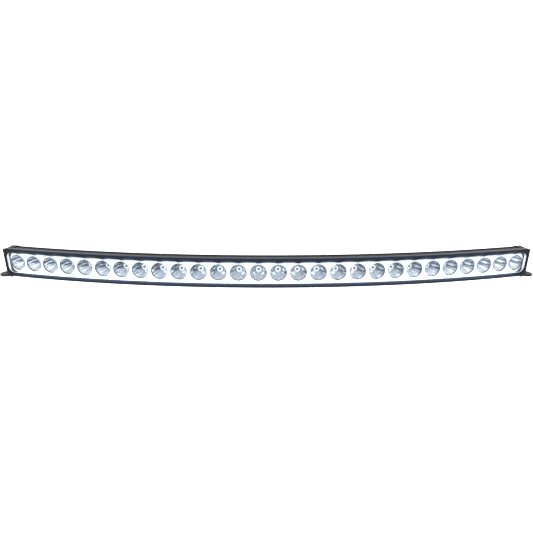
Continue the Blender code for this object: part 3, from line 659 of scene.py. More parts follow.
def glow_finish():
    """Lit acrylic: cool white in faint patches, with painted shade over its top edge. Other pieces
    see it brighter.
    """
    made, tree, shader = new_surface("halo_glow")
    where = tree.nodes.new("ShaderNodeTexCoord").outputs["Object"]
    cloud = add_noise(tree, where, 40.0, 2.0)
    lit = add_mix(tree, add_range(tree, cloud, 0.0, 1.0), (0.92, 0.96, 1.0, 1),
                  (0.96, 0.98, 1.0, 1))
    split = tree.nodes.new("ShaderNodeSeparateXYZ")
    tree.links.new(where, split.inputs["Vector"])
    above = add_math(tree, "SUBTRACT", split.outputs["Z"], MIDDLE)
    # Painted shade: the panel's colour darkens to dim blue along its top edge.
    top_shade = add_range(tree, above, 0.0, 1.0, *TOP_SHADE_HEIGHTS)
    seen = add_mix(tree, top_shade, lit, (0.10, 0.14, 0.22, 1))
    path = tree.nodes.new("ShaderNodeLightPath")
    bounces = add_math(tree, "ADD", path.outputs["Diffuse Depth"], path.outputs["Glossy Depth"])
    falling = add_math(tree, "GREATER_THAN", bounces, 0.5)
    tree.links.new(add_mix(tree, falling, seen, (2.0, 2.5, 3.0, 1)), shader.inputs["Emission Color"])
    shader.inputs["Emission Strength"].default_value = 1.15
    shader.inputs["Base Color"].default_value = (0.9, 0.92, 0.94, 1)
    shader.inputs["Roughness"].default_value = 0.35
    return made


def moulded_finish(name, dark, light, smooth, rough, grain):
    """Moulded nylon or rubber: an even matte skin with a fine spark-eroded grain."""
    return coat_finish(name, dark, light, smooth, rough, grain=grain)


HALO_GLOW = glow_finish()
HALO_BACK = mask_finish("halo_back_film", (0.70, 0.71, 0.72), (0.80, 0.81, 0.82))
NYLON = moulded_finish("black_nylon", (0.008, 0.008, 0.009), (0.016, 0.016, 0.017), 0.42, 0.55,
                       1400.0)
CARRIER_BLACK = moulded_finish("carrier_black", (0.004, 0.004, 0.005), (0.007, 0.007, 0.008), 0.85,
                               0.95, 1400.0)
CARRIER_BLACK.node_tree.nodes["Principled BSDF"].inputs["Specular IOR Level"].default_value = 0.05
RUBBER = moulded_finish("black_rubber", (0.008, 0.008, 0.008), (0.014, 0.014, 0.014), 0.7, 0.85,
                        700.0)
guide_outline = (GUIDE_HALF_LENGTH, GUIDE_HALF_HEIGHT, GUIDE_CORNER)
guide_back = GUIDE_FRONT + GUIDE_THICKNESS
guide_rings = [rounded_ring(*guide_outline, GUIDE_FRONT), rounded_ring(*guide_outline, guide_back)]
guide = build("halo_panel", plate(guide_rings), HALO_GLOW)
guide.data.materials.append(HALO_BACK)
for face in guide.data.polygons:
    angle = math.atan2(face.center.x, FACE_Y + FRONT_RADIUS - face.center.y)
    outwards = Vector((math.sin(angle), -math.cos(angle), 0))
    if face.normal.dot(outwards) < -0.5:
        face.material_index = 1
openings = []
for station in led_stations():
    openings.append(cylinder(GUIDE_HOLE, GUIDE_FRONT - 0.002, guide_back + 0.002,
                             local_frame(station), 72))
    for height in (UPPER_RELIEF, -LOWER_RELIEF):
        openings.append(cylinder(RELIEF_RADIUS, GUIDE_FRONT - 0.002, guide_back + 0.002,
                                 local_frame(station, 0.0, height), 72))
carve(guide, joined(openings))
seat(guide, "bar", "halo_white", "halo_guide")
dress(["halo_strip_upper", "halo_strip_lower"], BOARD_WHITE)

carrier_back = CARRIER_FRONT + CARRIER_DEPTH
lip_outline = (GUIDE_HALF_LENGTH + GAP, GUIDE_HALF_HEIGHT + GAP, GUIDE_CORNER)
lip_back = GUIDE_FRONT - GAP
carrier_rings = [rebate_fit(SOFT_EDGE, CARRIER_FRONT), rebate_fit(0.0, CARRIER_FRONT + SOFT_EDGE),
                 rebate_fit(0.0, carrier_back), rebate_fit(CARRIER_WIDTH, carrier_back),
                 rebate_fit(CARRIER_WIDTH, lip_back), grown(lip_outline, 0.0, lip_back),
                 grown(lip_outline, 0.0, CARRIER_FRONT + SOFT_EDGE),
                 grown(lip_outline, SOFT_EDGE, CARRIER_FRONT)]
carrier = build("carrier_frame", loft(carrier_rings, closed=True), CARRIER_BLACK)
seat(carrier, "bar", "carrier_plastic", "guide_carrier")


# ---- Lens and its gasket -------------------------------------------------------------------
# A bowed sheet of clear hard-coated polycarbonate lies in the bezel's rebate. A milky silicone
# gasket behind its edge keeps water out, and shows as a pale crescent at each end. It glows, in
# place of the light that would spread inside it.
LENS_FRONT = 0.0033
LENS_THICKNESS = 0.003
GASKET_THICKNESS = 0.002
GASKET_WIDTH = 0.005


def lens_finish():
    """Clear polycarbonate with the faint waviness of its hard coat."""
    made, tree, shader = new_surface("clear_polycarbonate")
    shader.inputs["Base Color"].default_value = (0.97, 0.985, 1.0, 1)
    shader.inputs["Roughness"].default_value = 0.0
    shader.inputs["IOR"].default_value = 1.58
    shader.inputs["Specular Tint"].default_value = (0.35, 0.42, 0.55, 1)
    shader.inputs["Transmission Weight"].default_value = 1.0
    where = tree.nodes.new("ShaderNodeTexCoord").outputs["Object"]
    add_bump(tree, shader, add_noise(tree, where, 30.0, 1.0), 0.02, 0.0002)
    return made


LENS_CLEAR = lens_finish()
SILICONE = moulded_finish("milky_silicone", (0.66, 0.70, 0.74), (0.76, 0.79, 0.82), 0.4, 0.5,
                          500.0)
SILICONE_SHADER = SILICONE.node_tree.nodes["Principled BSDF"]
SILICONE_SHADER.inputs["Emission Color"].default_value = (0.78, 0.90, 1.0, 1)
SILICONE_SHADER.inputs["Emission Strength"].default_value = 0.9
lens_back = LENS_FRONT + LENS_THICKNESS
lens_rings = [rebate_fit(SOFT_EDGE, LENS_FRONT), rebate_fit(0.0, LENS_FRONT + SOFT_EDGE),
              rebate_fit(0.0, lens_back - SOFT_EDGE), rebate_fit(SOFT_EDGE, lens_back)]
lens = build("lens_sheet", plate(lens_rings), LENS_CLEAR)
seat(lens, "bar", "lens_clear", "lens")

gasket_front = lens_back + GAP
gasket_rings = [rebate_fit(inset, gasket_front + depth) for inset, depth in
                ((SOFT_EDGE, 0.0), (0.0, SOFT_EDGE), (0.0, GASKET_THICKNESS),
                 (GASKET_WIDTH, GASKET_THICKNESS), (GASKET_WIDTH, SOFT_EDGE),
                 (GASKET_WIDTH - SOFT_EDGE, 0.0))]
gasket = build("silicone_gasket", loft(gasket_rings, closed=True), SILICONE)
seat(gasket, "bar", "rubber_seal", "lens_gasket")


# ---- Bezel ---------------------------------------------------------------------------------
# A die-cast aluminium frame, powder coated glossier than the housing, closes over the lens. Its
# front rolls smoothly down to the window. A glow in its coat along the long edges stands in for
# the halo's light on the roll.
BEZEL_DEPTH = 0.014
BEZEL_LIP = 0.003
BEZEL_OUTER = (0.6604, BEZEL_HALF_HEIGHT, 0.004)
WINDOW = (0.6545, 0.0254, 0.014)
ROLL_WIDTH = 0.0050
ROLL_DEPTH = 0.0024
SPILL_WIDTH = 0.0065
OUTER_GLOW = (0.006, 0.010, 0.020, 1)
WINDOW_GLOW = (0.080, 0.110, 0.175, 1)


def quarter_round(outline, radius, depth, steps, to_back):
    """Rings round an edge: from the front face out to the side, or from the side to the back."""
    rings = []
    for turn in spaced(0.0, math.pi / 2, steps):
        near = radius * (1 - math.cos(turn))
        far = radius * (1 - math.sin(turn))
        if to_back:
            rings.append(grown(outline, -near, depth + radius - far))
        else:
            rings.append(grown(outline, -far, depth + near))
    return rings


def bezel_finish():
    """Glossy coat with a glow along its long edges, brightest at the window and between cups."""
    made = coat_finish("bezel_coat", (0.006, 0.008, 0.013), (0.010, 0.013, 0.020), 0.20, 0.27)
    tree = made.node_tree
    where = tree.nodes.new("ShaderNodeTexCoord").outputs["Object"]
    split = tree.nodes.new("ShaderNodeSeparateXYZ")
    tree.links.new(where, split.inputs["Vector"])
    above = add_math(tree, "SUBTRACT", split.outputs["Z"], MIDDLE)
    height = add_math(tree, "ABSOLUTE", above, 0.0)
    across = add_math(tree, "SUBTRACT", FACE_Y + FRONT_RADIUS, split.outputs["Y"])
    turn = add_math(tree, "ARCTAN2", split.outputs["X"], across)
    wave = add_math(tree, "COSINE", add_math(tree, "MULTIPLY", turn,
                                             2 * math.pi * FRONT_RADIUS / LED_PITCH), 0.0)
    upper = add_range(tree, above, 0.0, 1.0, -0.001, 0.001)
    between = add_math(tree, "MULTIPLY", add_range(tree, wave, 1.0, 0.0, -1.0, 1.0), upper)
    near = add_range(tree, height, 1.0, 0.0, WINDOW[1], WINDOW[1] + SPILL_WIDTH)
    near = add_math(tree, "MULTIPLY", near, add_math(tree, "SUBTRACT", 1.0, between))
    long_edge = add_range(tree, height, 0.0, 1.0, WINDOW[1] - 0.004, WINDOW[1])
    inboard = add_range(tree, add_math(tree, "ABSOLUTE", turn, 0.0), 1.0, 0.0,
                        END_ANGLE - 0.022, END_ANGLE - 0.006)
    glow = add_mix(tree, near, OUTER_GLOW, WINDOW_GLOW)
    shader = tree.nodes["Principled BSDF"]
    shader.inputs["Specular IOR Level"].default_value = 0.12
    tree.links.new(add_mix(tree, add_math(tree, "MULTIPLY", long_edge, inboard), (0, 0, 0, 1), glow),
                   shader.inputs["Emission Color"])
    shader.inputs["Emission Strength"].default_value = 1.0
    return made


BEZEL_COAT = bezel_finish()
bezel_rings = [grown(WINDOW, 0.0, BEZEL_LIP)]
bezel_rings += [grown(WINDOW, ROLL_WIDTH * (1 - math.sin(turn)), ROLL_DEPTH * (1 - math.cos(turn)))
                for turn in spaced(math.pi / 2, 0.0, 10)]
bezel_rings += quarter_round(BEZEL_OUTER, 0.0008, 0.0, 4, False)
bezel_rings += quarter_round(BEZEL_OUTER, 0.0004, BEZEL_DEPTH - 0.0004, 3, True)
bezel_rings += [grown(REBATE, 0.0, BEZEL_DEPTH), grown(REBATE, 0.0, BEZEL_LIP)]
bezel = build("bezel", loft(bezel_rings, closed=True), BEZEL_COAT)
seat(bezel, "bar", "bezel_coat", "bezel_frame")


# ---- End caps ------------------------------------------------------------------------------
# A die-cast cap closes each end of the extrusion over a rubber gasket. It has an oblong pad, square
# to the bar, that takes the pivot bolt and the lock bolt, and two socket screws hold it.
CAP_START = 0.6421
CAP_WALL_START = 0.654
CAP_SECTION = [(HOUSING_FRONT, 0.0349), (0.0255, 0.0368), (0.0310, 0.0368), (0.0400, 0.0318),
               (0.0560, 0.0246), (0.0700, 0.0197), (0.0805, 0.0145)]
ARM_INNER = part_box("bracket_right")[0].x
PIVOT = Vector(frame["record"]["behaviour"]["joints"][0]["pos_m"])
PIVOT_DEPTH = PIVOT.y - FACE_Y
PIVOT_HEIGHT = PIVOT.z - MIDDLE
LOCK_RADIUS = 0.020
PAD_RADIUS = 0.012
PAD_FACE = ARM_INNER - GAP
SCREW_RECESS = 0.0039


def straight(x, depth, height):
    """Point by plain X, depth along Y from the front and height."""
    return Vector((x, FACE_Y + depth, MIDDLE + height))


def closed_below(section):
    return section + [(depth, -height) for depth, height in reversed(section)]


def cap_skin(side):
    outline = softened(closed_below(CAP_SECTION), 0.0016)
    rim = 0.0015
    levels = [(CAP_START, 0.0003), (CAP_START + 0.0003, 0.0)]
    levels += [(BAR_HALF_LENGTH - rim + rim * math.sin(turn), rim * (1 - math.cos(turn)))
               for turn in spaced(0.0, math.pi / 2, 4)]
    return loft([[place(side * station, *point) for point in drawn_in(outline, inset)]
                 for station, inset in levels])


def pad_outline():
    """Upright oblong round the pivot and the lock bolt: (depth, height)."""
    outline = []
    for centre, start in ((PIVOT_HEIGHT, 0.0), (PIVOT_HEIGHT - LOCK_RADIUS, math.pi)):
        outline += [(PIVOT_DEPTH + PAD_RADIUS * math.cos(start + turn),
                     centre + PAD_RADIUS * math.sin(start + turn))
                    for turn in spaced(0.0, math.pi, 20)]
    return outline


def pad_skin(side):
    root = math.tan((BAR_HALF_LENGTH - 0.003) / FRONT_RADIUS)
    outline = pad_outline()
    rim = 0.0008
    rings = [[straight(side * (FRONT_RADIUS - depth) * root, depth, height)
              for depth, height in outline]]
    for x, inset in ((PAD_FACE - rim, 0.0), (PAD_FACE - rim * 0.3, rim * 0.3), (PAD_FACE, rim)):
        rings.append([straight(side * x, *point) for point in drawn_in(outline, inset)])
    return loft(rings)


def bolt_frame(side, x, height):
    """Y points inwards from a bracket, at the pivot's depth."""
    return (Matrix.Translation(straight(side * x, PIVOT_DEPTH, height))
            @ Matrix.Rotation(side * math.pi / 2, 4, "Z"))


def cap_cuts(side):
    hollow = [(HOUSING_FRONT - 0.002, CAVITY_HALF_HEIGHT),
              (CAVITY_BACK - CAVITY_CORNER, CAVITY_HALF_HEIGHT),
              (CAVITY_BACK, CAVITY_HALF_HEIGHT - CAVITY_CORNER)]
    cuts = [sweep(closed_below(hollow), [side * (CAP_START - 0.002), side * CAP_WALL_START])]
    for height in (-SCREW_HEIGHT, SCREW_HEIGHT):
        levels = [(SCREW_RECESS, -0.001), (SCREW_RECESS, 0.0022), (SCREW_BORE, 0.0022),
                  (SCREW_BORE, 0.020)]
        cuts.append(loft(turned_rings(levels, 40, cap_screw_frame(side, height))))
    for height, radius in ((PIVOT_HEIGHT, 0.0042), (PIVOT_HEIGHT - LOCK_RADIUS, 0.0032)):
        cuts.append(cylinder(radius, -0.001, 0.0105, bolt_frame(side, PAD_FACE, height)))
    return joined(cuts)


CAP_COAT = coat_finish("cap_coat", (0.008, 0.008, 0.009), (0.015, 0.015, 0.016), 0.38, 0.48)
for side, label in ((-1, "left"), (1, "right")):
    cap = build(f"cap_{label}", cap_skin(side), CAP_COAT)
    carve(cap, pad_skin(side), "UNION")
    carve(cap, cap_cuts(side))
    seat(cap, "bar", "housing_coat", f"end_cap_{label}")
dress(["cap_gasket_left", "cap_gasket_right"], RUBBER)


# ---- Cap screws ----------------------------------------------------------------------------
# Stainless pan-head screws with a hexagon socket, turned from drawn bar, run through each cap into
# the thick fins and hold it on its gasket.


def make_steel_group():
    """Drawn stainless steel: fine lines one way, and a slightly uneven polish."""
    tree, start, end = new_group(
        "drawn_steel",
        (("Low", "NodeSocketColor", (0.45, 0.45, 0.46, 1)),
         ("High", "NodeSocketColor", (0.62, 0.62, 0.63, 1)),
         ("Smooth", "NodeSocketFloat", 0.22), ("Rough", "NodeSocketFloat", 0.38)),
        (("Color", "NodeSocketColor"), ("Roughness", "NodeSocketFloat"),
         ("Height", "NodeSocketFloat")))
    where = tree.nodes.new("ShaderNodeTexCoord").outputs["Object"]
    stretch = tree.nodes.new("ShaderNodeMapping")
    stretch.inputs["Scale"].default_value = (2600.0, 120.0, 2600.0)
    tree.links.new(where, stretch.inputs["Vector"])
    lines = add_noise(tree, stretch.outputs["Vector"], 1.0, 3.0)
    cloud = add_noise(tree, where, 160.0, 3.0)
    tree.links.new(add_mix(tree, add_range(tree, lines, 0.0, 1.0), start.outputs["Low"],
                           start.outputs["High"]), end.inputs["Color"])
    tree.links.new(add_range(tree, cloud, start.outputs["Smooth"], start.outputs["Rough"]),
                   end.inputs["Roughness"])
    tree.links.new(lines, end.inputs["Height"])
    return tree


def steel_finish():
    made, tree, shader = new_surface("stainless_steel")
    steel = place_group(tree, make_steel_group())
    tree.links.new(steel.outputs["Color"], shader.inputs["Base Color"])
    tree.links.new(steel.outputs["Roughness"], shader.inputs["Roughness"])
    shader.inputs["Metallic"].default_value = 1.0
    add_bump(tree, shader, steel.outputs["Height"], 0.15, 0.00005)
    return made


def hexagon(flats, turn):
    """Distance from the middle to the side of a hexagon, in a direction."""
    return flats / math.cos((turn + math.pi / 6) % (math.pi / 3) - math.pi / 6)


def hex_ring(flats, depth, steps, at, limit=None):
    ring = []
    for step in range(steps):
        turn = 2 * math.pi * step / steps
        reach = min(hexagon(flats, turn), limit or 1.0)
        ring.append(at @ Vector((reach * math.cos(turn), depth, reach * math.sin(turn))))
    return ring


def cap_screw_skin(at):
    steps = 48
    profile = [(0.0020, 0.032), (0.0020, 0.0019), (0.0034, 0.0019), (0.0036, 0.0017),
               (0.0036, 0.0008), (0.0033, 0.0002), (0.0028, 0.0), (0.0019, 0.0)]
    rings = turned_rings(profile, steps, at)
    rings.append(hex_ring(0.00125, 0.0, steps, at))
    rings.append(hex_ring(0.00120, 0.0012, steps, at))
    return loft(rings)


STEEL = steel_finish()
for side, label in ((-1, "left"), (1, "right")):
    for height, level in ((SCREW_HEIGHT, "upper"), (-SCREW_HEIGHT, "lower")):
        screw = build(f"socket_screw_{label}_{level}",
                      cap_screw_skin(cap_screw_frame(side, height)), STEEL)
        seat(screw, "bar", "stainless", f"cap_screw_{label}_{level}")


# ---- Cable gland and breather vent ---------------------------------------------------------
# Moulded nylon fittings in a pocket cut in the fins near the right end: the gland that the supply
# cable enters by, with its ribbed clamp nut, and a vent that lets the sealed bar breathe.


def fluted_ring(radius, depth, steps, at, flutes, cut):
    ring = []
    for step in range(steps):
        turn = 2 * math.pi * step / steps
        reach = radius - cut * (0.5 + 0.5 * math.cos(flutes * turn)) ** 2
        ring.append(at @ Vector((reach * math.cos(turn), depth, reach * math.sin(turn))))
    return ring


def gland_body_skin(at):
    steps = 96
    rings = turned_rings([(0.0019, 0.0120), (0.0019, -0.0045), (0.0057, -0.0045),
                          (0.0060, -0.0042), (0.0060, 0.0)], steps, at)
    flats = 0.0078
    rings += [hex_ring(flats, 0.0, steps, at), hex_ring(flats, 0.0040, steps, at),
              hex_ring(flats, 0.0045, steps, at, limit=flats * 1.06)]
    rings += turned_rings([(0.0062, 0.0045), (0.0062, 0.0117), (0.0059, 0.0120)], steps, at)
    return loft(rings, closed=True)


def gland_nut_skin(at):
    steps = 144
    cut = 0.0005
    flutes = 18
    rings = turned_rings([(0.0065, 0.0124), (0.0065, 0.0050)], steps, at)
    rings.append(fluted_ring(0.0084, 0.0050, steps, at, flutes, cut))
    rings.append(fluted_ring(0.0088, 0.0054, steps, at, flutes, cut))
    rings.append(fluted_ring(0.0088, 0.0125, steps, at, flutes, cut))
    rings += turned_rings([(0.0085, 0.0134), (0.0078, 0.0160), (0.0069, 0.0183), (0.0063, 0.0190),
                           (0.0042, 0.0190), (0.0036, 0.0186), (0.0019, 0.0180),
                           (0.0019, 0.0124)], steps, at)
    return loft(rings, closed=True)


def vent_skin(at):
    steps = 96
    rings = turned_rings([(0.0030, -0.0045), (0.0030, 0.0), (0.0056, 0.0)], steps, at)
    rings += [fluted_ring(0.0060, depth, steps, at, 12, 0.0005) for depth in (0.0004, 0.0026)]
    rings += turned_rings([(0.0052, 0.0034), (0.0045, 0.0042), (0.0020, 0.0042)], steps, at)
    return loft(rings)


fitting_depth = pocket_floor + GAP
gland_frame = local_frame(GLAND_STATION, fitting_depth)
gland = build("gland_body", gland_body_skin(gland_frame), NYLON, sharp=35)
seat(gland, "bar", "gland_plastic", "cable_gland")
nut = build("gland_clamp_nut", gland_nut_skin(gland_frame), NYLON, sharp=50)
seat(nut, "bar", "gland_plastic", "gland_nut")
vent = build("vent_cap", vent_skin(local_frame(VENT_STATION, fitting_depth)), NYLON, sharp=50)
seat(vent, "bar", "gland_plastic", "breather_vent")


# ---- Brackets ------------------------------------------------------------------------------
# Pressed steel, powder coated satin black. Each has an upright arm with a pivot hole and a curved
# slot for the lock bolt, and a round foot bent outwards with an oblong hole for the fixing bolt.
PLATE = 0.0045
ARM_HALF_WIDTH = 0.0225
ARM_TOP_RADIUS = 0.019
FOOT_CENTRE = 0.674
FOOT_RADIUS = 0.0205
FOOT_NECK = 0.0145
FOOT_PLANE = -MIDDLE
TILT_LIMIT = math.radians(frame["record"]["behaviour"]["joints"][0]["range_deg"][1] + 3)
SLOT_HALF_WIDTH = 0.0036
BEND_FILLET = 0.008


def pressed(outline, to_space, thickness, rim=0.0005):
    """Sheet metal from an outline, its rims rounded as pressing and paint leave them."""
    rings = []
    for across, inset in ((0.0, rim), (rim * 0.3, rim * 0.3), (rim, 0.0), (thickness - rim, 0.0),
                          (thickness - rim * 0.3, rim * 0.3), (thickness, rim)):
        rings.append([to_space(point, across) for point in drawn_in(outline, inset)])
    return loft(rings)


def arm_outline():
    top = [(PIVOT_DEPTH + ARM_TOP_RADIUS * math.cos(turn),
            PIVOT_HEIGHT + ARM_TOP_RADIUS * math.sin(turn)) for turn in spaced(0.0, math.pi, 32)]
    near = PIVOT_DEPTH - ARM_HALF_WIDTH
    far = PIVOT_DEPTH + ARM_HALF_WIDTH
    base = [(near, FOOT_PLANE + 0.014), (near, FOOT_PLANE + 0.001), (near + 0.001, FOOT_PLANE),
            (far - 0.001, FOOT_PLANE), (far, FOOT_PLANE + 0.001), (far, FOOT_PLANE + 0.014)]
    return top + base


def foot_outline():
    """Ear outline as (x from the middle of the bar, depth)."""
    root = ARM_INNER + PLATE / 2
    first = math.asin(FOOT_NECK / FOOT_RADIUS)
    ear = [(FOOT_CENTRE + FOOT_RADIUS * math.cos(turn), PIVOT_DEPTH + FOOT_RADIUS * math.sin(turn))
           for turn in spaced(math.pi - first, first - math.pi, 40)]
    return [(root, PIVOT_DEPTH + FOOT_NECK)] + ear + [(root, PIVOT_DEPTH - FOOT_NECK)]


def fillet_skin(side):
    """Inner radius of the bend, across the neck."""
    corner_x = ARM_INNER + PLATE - 0.0005
    corner_z = FOOT_PLANE + PLATE - 0.0005
    reach = BEND_FILLET + 0.0005
    curve = [(corner_x, corner_z)]
    curve += [(corner_x + reach - reach * math.sin(turn), corner_z + reach - reach * math.cos(turn))
              for turn in spaced(0.0, math.pi / 2, 8)]
    rings = [[straight(side * x, depth, height) for x, height in curve]
             for depth in (PIVOT_DEPTH - FOOT_NECK + 0.0006, PIVOT_DEPTH + FOOT_NECK - 0.0006)]
    return loft(rings)


def curved_slot(side):
    """The lock bolt's slot, along an arc about the pivot."""
    outline = []
    for edge, ends in ((SLOT_HALF_WIDTH, (-TILT_LIMIT, TILT_LIMIT)),
                       (-SLOT_HALF_WIDTH, (TILT_LIMIT, -TILT_LIMIT))):
        reach = LOCK_RADIUS + edge
        outline += [(PIVOT_DEPTH + reach * math.sin(turn), PIVOT_HEIGHT - reach * math.cos(turn))
                    for turn in spaced(*ends, 16)]
        turn = ends[1]
        sign = 1 if edge > 0 else -1
        middle = (PIVOT_DEPTH + LOCK_RADIUS * math.sin(turn),
                  PIVOT_HEIGHT - LOCK_RADIUS * math.cos(turn))
        for swing in spaced(0.0, math.pi, 8)[1:-1]:
            across = sign * SLOT_HALF_WIDTH * math.cos(swing)
            along = sign * SLOT_HALF_WIDTH * math.sin(swing)
            outline.append((middle[0] + across * math.sin(turn) + along * math.cos(turn),
                            middle[1] - across * math.cos(turn) + along * math.sin(turn)))
    return loft([[straight(side * x, *point) for point in outline]
                 for x in (ARM_INNER - 0.002, ARM_INNER + PLATE + 0.002)])


def foot_slot(side):
    outline = []
    for shift, start in ((0.0035, -math.pi / 2), (-0.0035, math.pi / 2)):
        outline += [(side * FOOT_CENTRE + shift + 0.0045 * math.cos(turn),
                     PIVOT_DEPTH + 0.0045 * math.sin(turn))
                    for turn in spaced(start, start + math.pi, 16)]
    return loft([[straight(x, depth, height) for x, depth in outline]
                 for height in (FOOT_PLANE - 0.002, FOOT_PLANE + PLATE + 0.002)])


BRACKET_COAT = coat_finish("bracket_coat", (0.012, 0.012, 0.012), (0.022, 0.022, 0.023), 0.45, 0.55)
for side, label in ((-1, "left"), (1, "right")):
    def arm_space(point, across):
        return straight(side * (ARM_INNER + across), *point)

    def foot_space(point, across):
        return straight(side * point.x, point.y, FOOT_PLANE + across)

    bracket = build(f"bracket_plate_{label}", pressed(arm_outline(), arm_space, PLATE),
                    BRACKET_COAT)
    carve(bracket, pressed(foot_outline(), foot_space, PLATE), "UNION")
    carve(bracket, fillet_skin(side), "UNION")
    pivot_hole = cylinder(0.0044, -PLATE - 0.003, 0.003, bolt_frame(side, ARM_INNER, PIVOT_HEIGHT))
    carve(bracket, joined([pivot_hole, curved_slot(side), foot_slot(side)]))
    seat(bracket, f"{label}_bracket", "bracket_coat", f"bracket_{label}")


# ---- Pivot bolts, washers and lock bolts ---------------------------------------------------
# A stainless M8 bolt with a washer is the pivot at each end, and an M6 bolt in the curved slot
# locks the tilt. Both thread into the end cap's pad.


def hex_bolt_skin(flats, head, radius, length, at):
    """Hexagon head with its corners turned off, a washer face and a round shank."""
    steps = 72
    crown = flats * 0.95
    side_low = []
    side_high = []
    for step in range(steps):
        turn = 2 * math.pi * step / steps
        reach = hexagon(flats, turn)
        fall = (reach - crown) * math.tan(math.radians(30))
        direction = Vector((math.cos(turn), 0, math.sin(turn))) * reach
        side_low.append(at @ (direction + Vector((0, -0.0004, 0))))
        side_high.append(at @ (direction + Vector((0, fall - head, 0))))
    rings = turned_rings([(radius, length), (radius, 0.0), (crown, 0.0), (crown, -0.0004)], steps, at)
    rings += [side_low, side_high]
    rings += turned_rings([(crown, -head), (crown * 0.8, -head)], steps, at)
    return loft(rings)


washer_thickness = 0.0016
arm_face = ARM_INNER + PLATE + GAP
for side, label in ((-1, "left"), (1, "right")):
    washer_frame = bolt_frame(side, arm_face, PIVOT_HEIGHT)
    washer_profile = [(0.0044, 0.0), (0.0044, -washer_thickness), (0.0082, -washer_thickness),
                      (0.0085, -washer_thickness + 0.0002), (0.0085, -0.0002), (0.0083, 0.0)]
    washer = build(f"washer_{label}", loft(turned_rings(washer_profile, 64, washer_frame), True),
                   STEEL)
    seat(washer, "bar", "stainless", f"pivot_washer_{label}")
    head_face = arm_face + washer_thickness + GAP
    bolts = (("pivot_bolt", "m8_bolt", head_face, 0.0073, 0.0053, 0.0040, PIVOT_HEIGHT),
             ("lock_bolt", "m6_bolt", arm_face, 0.0057, 0.0040, 0.0030, PIVOT_HEIGHT - LOCK_RADIUS))
    for node, name, x, flats, head, radius, height in bolts:
        length = x - PAD_FACE + 0.0095
        bolt = build(f"{name}_{label}",
                     hex_bolt_skin(flats, head, radius, length, bolt_frame(side, x, height)), STEEL)
        seat(bolt, "bar", "stainless", f"{node}_{label}")


# ---- Studio --------------------------------------------------------------------------------
# A wide white floor well below the hung bar, and a sky that is bright behind and above it and
# banded in front, so that black faces stay black and the cups keep some dark streaks. The camera
# sees both as plain white.
FLOOR_LEVEL = -0.30
FLOOR_GLOW = (0.2, 0.8)
SKY_TO_CAMERA = 1.05
FRONT_BANDS = ((0.0, 0.75), (0.32, 0.85), (0.38, 0.30), (0.42, 0.26), (0.46, 0.90), (0.56, 1.0),
               (0.60, 0.40), (0.64, 0.40), (0.68, 1.1), (1.0, 1.2))
VIEW_LENS = 27.04
VIEW_PITCH = math.radians(18.14)
VIEW_TURN = math.radians(-0.55)
VIEW_ROLL = math.radians(-0.18)
VIEW_OFFSET = Vector((-0.0046, -0.8662, 0.3012))


def make_floor():
    reach = 30.0
    corners = [Vector((x, y, FLOOR_LEVEL)) for x, y in
               ((-reach, -reach), (reach, -reach), (reach, reach), (-reach, reach))]
    mesh = bpy.data.meshes.new("floor")
    mesh.from_pydata([tuple(corner) for corner in corners], [], [[0, 1, 2, 3]])
    made, tree, shader = new_surface("floor_white")
    shader.inputs["Base Color"].default_value = (0.93, 0.93, 0.93, 1)
    shader.inputs["Roughness"].default_value = 0.9
    shader.inputs["Specular IOR Level"].default_value = 0.0
    shader.inputs["Emission Color"].default_value = (1, 1, 1, 1)
    ray = tree.nodes.new("ShaderNodeLightPath").outputs["Is Camera Ray"]
    tree.links.new(add_range(tree, ray, *FLOOR_GLOW, 0.0, 1.0), shader.inputs["Emission Strength"])
    mesh.materials.append(made)
    floor = bpy.data.objects.new("floor", mesh)
    bpy.context.scene.collection.objects.link(floor)


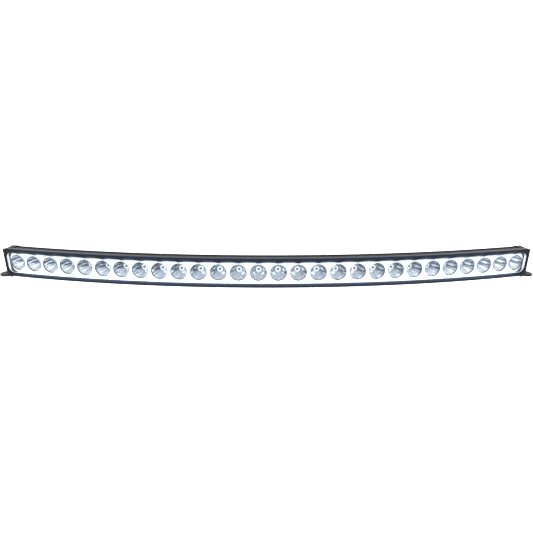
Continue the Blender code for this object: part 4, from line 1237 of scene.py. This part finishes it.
def make_sky():
    """White to the camera; for light, bright above and behind, and banded in front."""
    world = bpy.data.worlds.new("studio")
    world.use_nodes = True
    tree = world.node_tree
    tree.nodes.clear()
    where = tree.nodes.new("ShaderNodeTexCoord").outputs["Generated"]
    split = tree.nodes.new("ShaderNodeSeparateXYZ")
    tree.links.new(where, split.inputs["Vector"])
    behind = add_range(tree, split.outputs["Y"], 0.0, 1.0, -0.5, 0.6)
    above = add_range(tree, split.outputs["Z"], 0.0, 1.0, 0.1, 0.8)
    bright = add_math(tree, "MAXIMUM", behind, above)
    bands = tree.nodes.new("ShaderNodeValToRGB")
    tree.links.new(add_range(tree, split.outputs["Z"], 0.0, 1.0, -1.0, 1.0), bands.inputs["Fac"])
    ramp = bands.color_ramp
    while len(ramp.elements) < len(FRONT_BANDS):
        ramp.elements.new(0.5)
    for element, (position, level) in zip(ramp.elements, FRONT_BANDS):
        element.position = position
        element.color = (level * 0.93, level * 0.96, level, 1)
    tone = add_mix(tree, bright, bands.outputs["Color"], (1.0, 1.0, 1.0, 1))
    lit = tree.nodes.new("ShaderNodeBackground")
    tree.links.new(tone, lit.inputs["Color"])
    lit.inputs["Strength"].default_value = 1.0
    seen = tree.nodes.new("ShaderNodeBackground")
    seen.inputs["Color"].default_value = (1, 1, 1, 1)
    seen.inputs["Strength"].default_value = SKY_TO_CAMERA
    choose = tree.nodes.new("ShaderNodeMixShader")
    ray = tree.nodes.new("ShaderNodeLightPath").outputs["Is Camera Ray"]
    tree.links.new(ray, choose.inputs[0])
    tree.links.new(lit.outputs[0], choose.inputs[1])
    tree.links.new(seen.outputs[0], choose.inputs[2])
    output = tree.nodes.new("ShaderNodeOutputWorld")
    tree.links.new(choose.outputs[0], output.inputs["Surface"])
    bpy.context.scene.world = world


def add_area_light(name, place_at, aim, width, height, power):
    light = bpy.data.lights.new(name, "AREA")
    light.shape = "RECTANGLE"
    light.size = width
    light.size_y = height
    light.energy = power
    made = bpy.data.objects.new(name, light)
    made.location = place_at
    made.rotation_euler = (Vector(aim) - Vector(place_at)).to_track_quat("-Z", "Y").to_euler()
    bpy.context.scene.collection.objects.link(made)


def make_camera():
    camera = bpy.data.cameras.new("camera")
    camera.lens = VIEW_LENS
    camera.sensor_width = 36.0
    right = Vector((1, 0, 0))
    upwards = Vector((0, math.sin(VIEW_PITCH), math.cos(VIEW_PITCH)))
    ahead = Vector((0, math.cos(VIEW_PITCH), -math.sin(VIEW_PITCH)))
    rolled_right = right * math.cos(VIEW_ROLL) - upwards * math.sin(VIEW_ROLL)
    rolled_up = right * math.sin(VIEW_ROLL) + upwards * math.cos(VIEW_ROLL)
    turn = Matrix.Rotation(VIEW_TURN, 3, "Z")
    axes = Matrix((turn @ rolled_right, turn @ rolled_up, turn @ -ahead)).transposed()
    made = bpy.data.objects.new("camera", camera)
    made.matrix_world = (Matrix.Translation(place(0, 0, 0) + turn @ VIEW_OFFSET) @ axes.to_4x4())
    bpy.context.scene.collection.objects.link(made)
    bpy.context.scene.camera = made


make_floor()
make_sky()
add_area_light("overhead", (0.0, 0.5, 2.2), (0.0, 0.0, 0.0), 4.0, 2.0, 60.0)
make_camera()
bpy.context.scene.view_settings.view_transform = "Standard"
bpy.context.scene.view_settings.look = "None"
